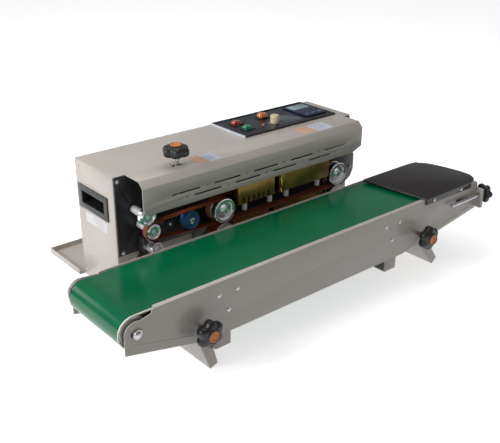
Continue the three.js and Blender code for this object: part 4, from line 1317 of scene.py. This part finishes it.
class SEALER_OT_labels(Operator):
    """Plain generic labels without lettering"""
    bl_idname = "sealer.labels"
    bl_label = "Labels"

    def execute(self, context):
        side = bmesh.new()
        block(side, (127.2, 127.45), (253, 325), (152, 171))
        for row in range(3):
            block(side, (127.1, 127.2), (262, 300 - row * 7), (166 - row * 5.2, 167.2 - row * 5.2),
                  material=1)
        piece_from("side_label", side, [extra_finish("label_white"),
                                        extra_finish("label_grey")], "frame")
        for name, x0, x1, y0, y1 in (("left_hood_label", 276, 325, 184, 220),
                                     ("right_hood_label", 527, 604, 186, 222)):
            work = bmesh.new()
            middle = x0 + (x1 - x0) * 0.46
            block(work, (x0, middle), (y0, y1), (HOOD_TOP - 0.05, HOOD_TOP + 0.22))
            block(work, (middle, x1), (y0, y1), (HOOD_TOP - 0.05, HOOD_TOP + 0.22),
                  material=1)
            for row in range(3):
                block(work, (middle + 4, x1 - 6 - 3 * row),
                      (y1 - 9 - row * 8, y1 - 7 - row * 8),
                      (HOOD_TOP + 0.2, HOOD_TOP + 0.3), material=2)
            piece_from(name, work, [extra_finish("label_peach"),
                                    extra_finish("label_pale_blue"),
                                    extra_finish("label_grey")], "frame")
        return {"FINISHED"}


class SEALER_OT_rear(Operator):
    """Fan guard, fan, inlet pins, motor and board at the back and inside"""
    bl_idname = "sealer.rear"
    bl_label = "Rear and Inside"

    def execute(self, context):
        guard = bmesh.new()
        x, z, y = 420.0, 190.0, 351.2
        for radius in (9.0, 17.0, 25.0, 33.0, 39.5):
            ring = [(x + radius * math.cos(a), y, z + radius * math.sin(a))
                    for a in (2 * math.pi * k / 48 for k in range(49))]
            rod(guard, ring, 0.8, 8)
        for k in range(4):
            a = math.radians(45 + 90 * k)
            rod(guard, [(x + 8 * math.cos(a), y - 0.2, z + 8 * math.sin(a)),
                        (x + 44 * math.cos(a), y - 0.2, z + 44 * math.sin(a))], 1.0, 8)
        piece_from("fan_guard", guard, finish_for("chrome"), "frame")
        pins = bmesh.new()
        for dx, dz in ((-5, -1.6), (0, 2.0), (5, -1.6)):
            block(pins, (613.5 + dx - 1, 613.5 + dx + 1), (335.5, 346),
                  (80 + dz - 2, 80 + dz + 2))
        piece_from("inlet_pins", pins, finish_for("brass"), "frame",
                   ease=0.3 * MM)
        for node in ("power_inlet", "fan_frame", "fan_rotor", "gear_motor"):
            eased_copy(node, 0.4 * MM)
        chips = bmesh.new()
        for x0, x1, z0, z1, depth in ((486, 508, 68, 92, 9), (516, 546, 70, 84, 6),
                                      (556, 572, 66, 96, 14), (584, 630, 104, 116, 4),
                                      (490, 540, 104, 140, 5), (600, 644, 70, 92, 11)):
            block(chips, (x0, x1), (300 - depth, 300.4), (z0, z1))
        piece_from("board_components", chips, finish_for("black_plastic"), "frame",
                   ease=0.5 * MM)
        return {"FINISHED"}


class SEALER_PT_panel(Panel):
    """Sizes, colours and pieces of the band sealer"""
    bl_idname = "SEALER_PT_panel"
    bl_label = "Band Sealer"
    bl_space_type = "VIEW_3D"
    bl_region_type = "UI"
    bl_category = "Sealer"

    def draw(self, context):
        for group in ("sealer_colours", "sealer_sizes", "sealer_studio"):
            settings = getattr(context.scene, group)
            section = self.layout.box()
            for key in settings.__annotations__:
                section.prop(settings, key)
        for operator in PIECE_OPERATORS:
            self.layout.operator(operator.bl_idname)


PIECE_OPERATORS = (SEALER_OT_stage, SEALER_OT_carried_nodes, SEALER_OT_sheet_metal,
                   SEALER_OT_rollers, SEALER_OT_conveyor_belt, SEALER_OT_band_wheels,
                   SEALER_OT_pulleys, SEALER_OT_bands, SEALER_OT_chains,
                   SEALER_OT_star_knobs, SEALER_OT_press, SEALER_OT_blocks,
                   SEALER_OT_panel, SEALER_OT_fasteners, SEALER_OT_labels, SEALER_OT_rear)
CLASSES = (SealerColours, SealerSizes, SealerStudio, *PIECE_OPERATORS, SEALER_PT_panel)


def register():
    for item in CLASSES:
        bpy.utils.register_class(item)
    bpy.types.Scene.sealer_colours = PointerProperty(type=SealerColours)
    bpy.types.Scene.sealer_sizes = PointerProperty(type=SealerSizes)
    bpy.types.Scene.sealer_studio = PointerProperty(type=SealerStudio)


def unregister():
    for name in ("sealer_colours", "sealer_sizes", "sealer_studio"):
        delattr(bpy.types.Scene, name)
    for item in reversed(CLASSES):
        bpy.utils.unregister_class(item)


def main():
    register()
    for operator in PIECE_OPERATORS:
        getattr(bpy.ops.sealer, operator.bl_idname.split(".")[1])()


if __name__ == "__main__":
    main()
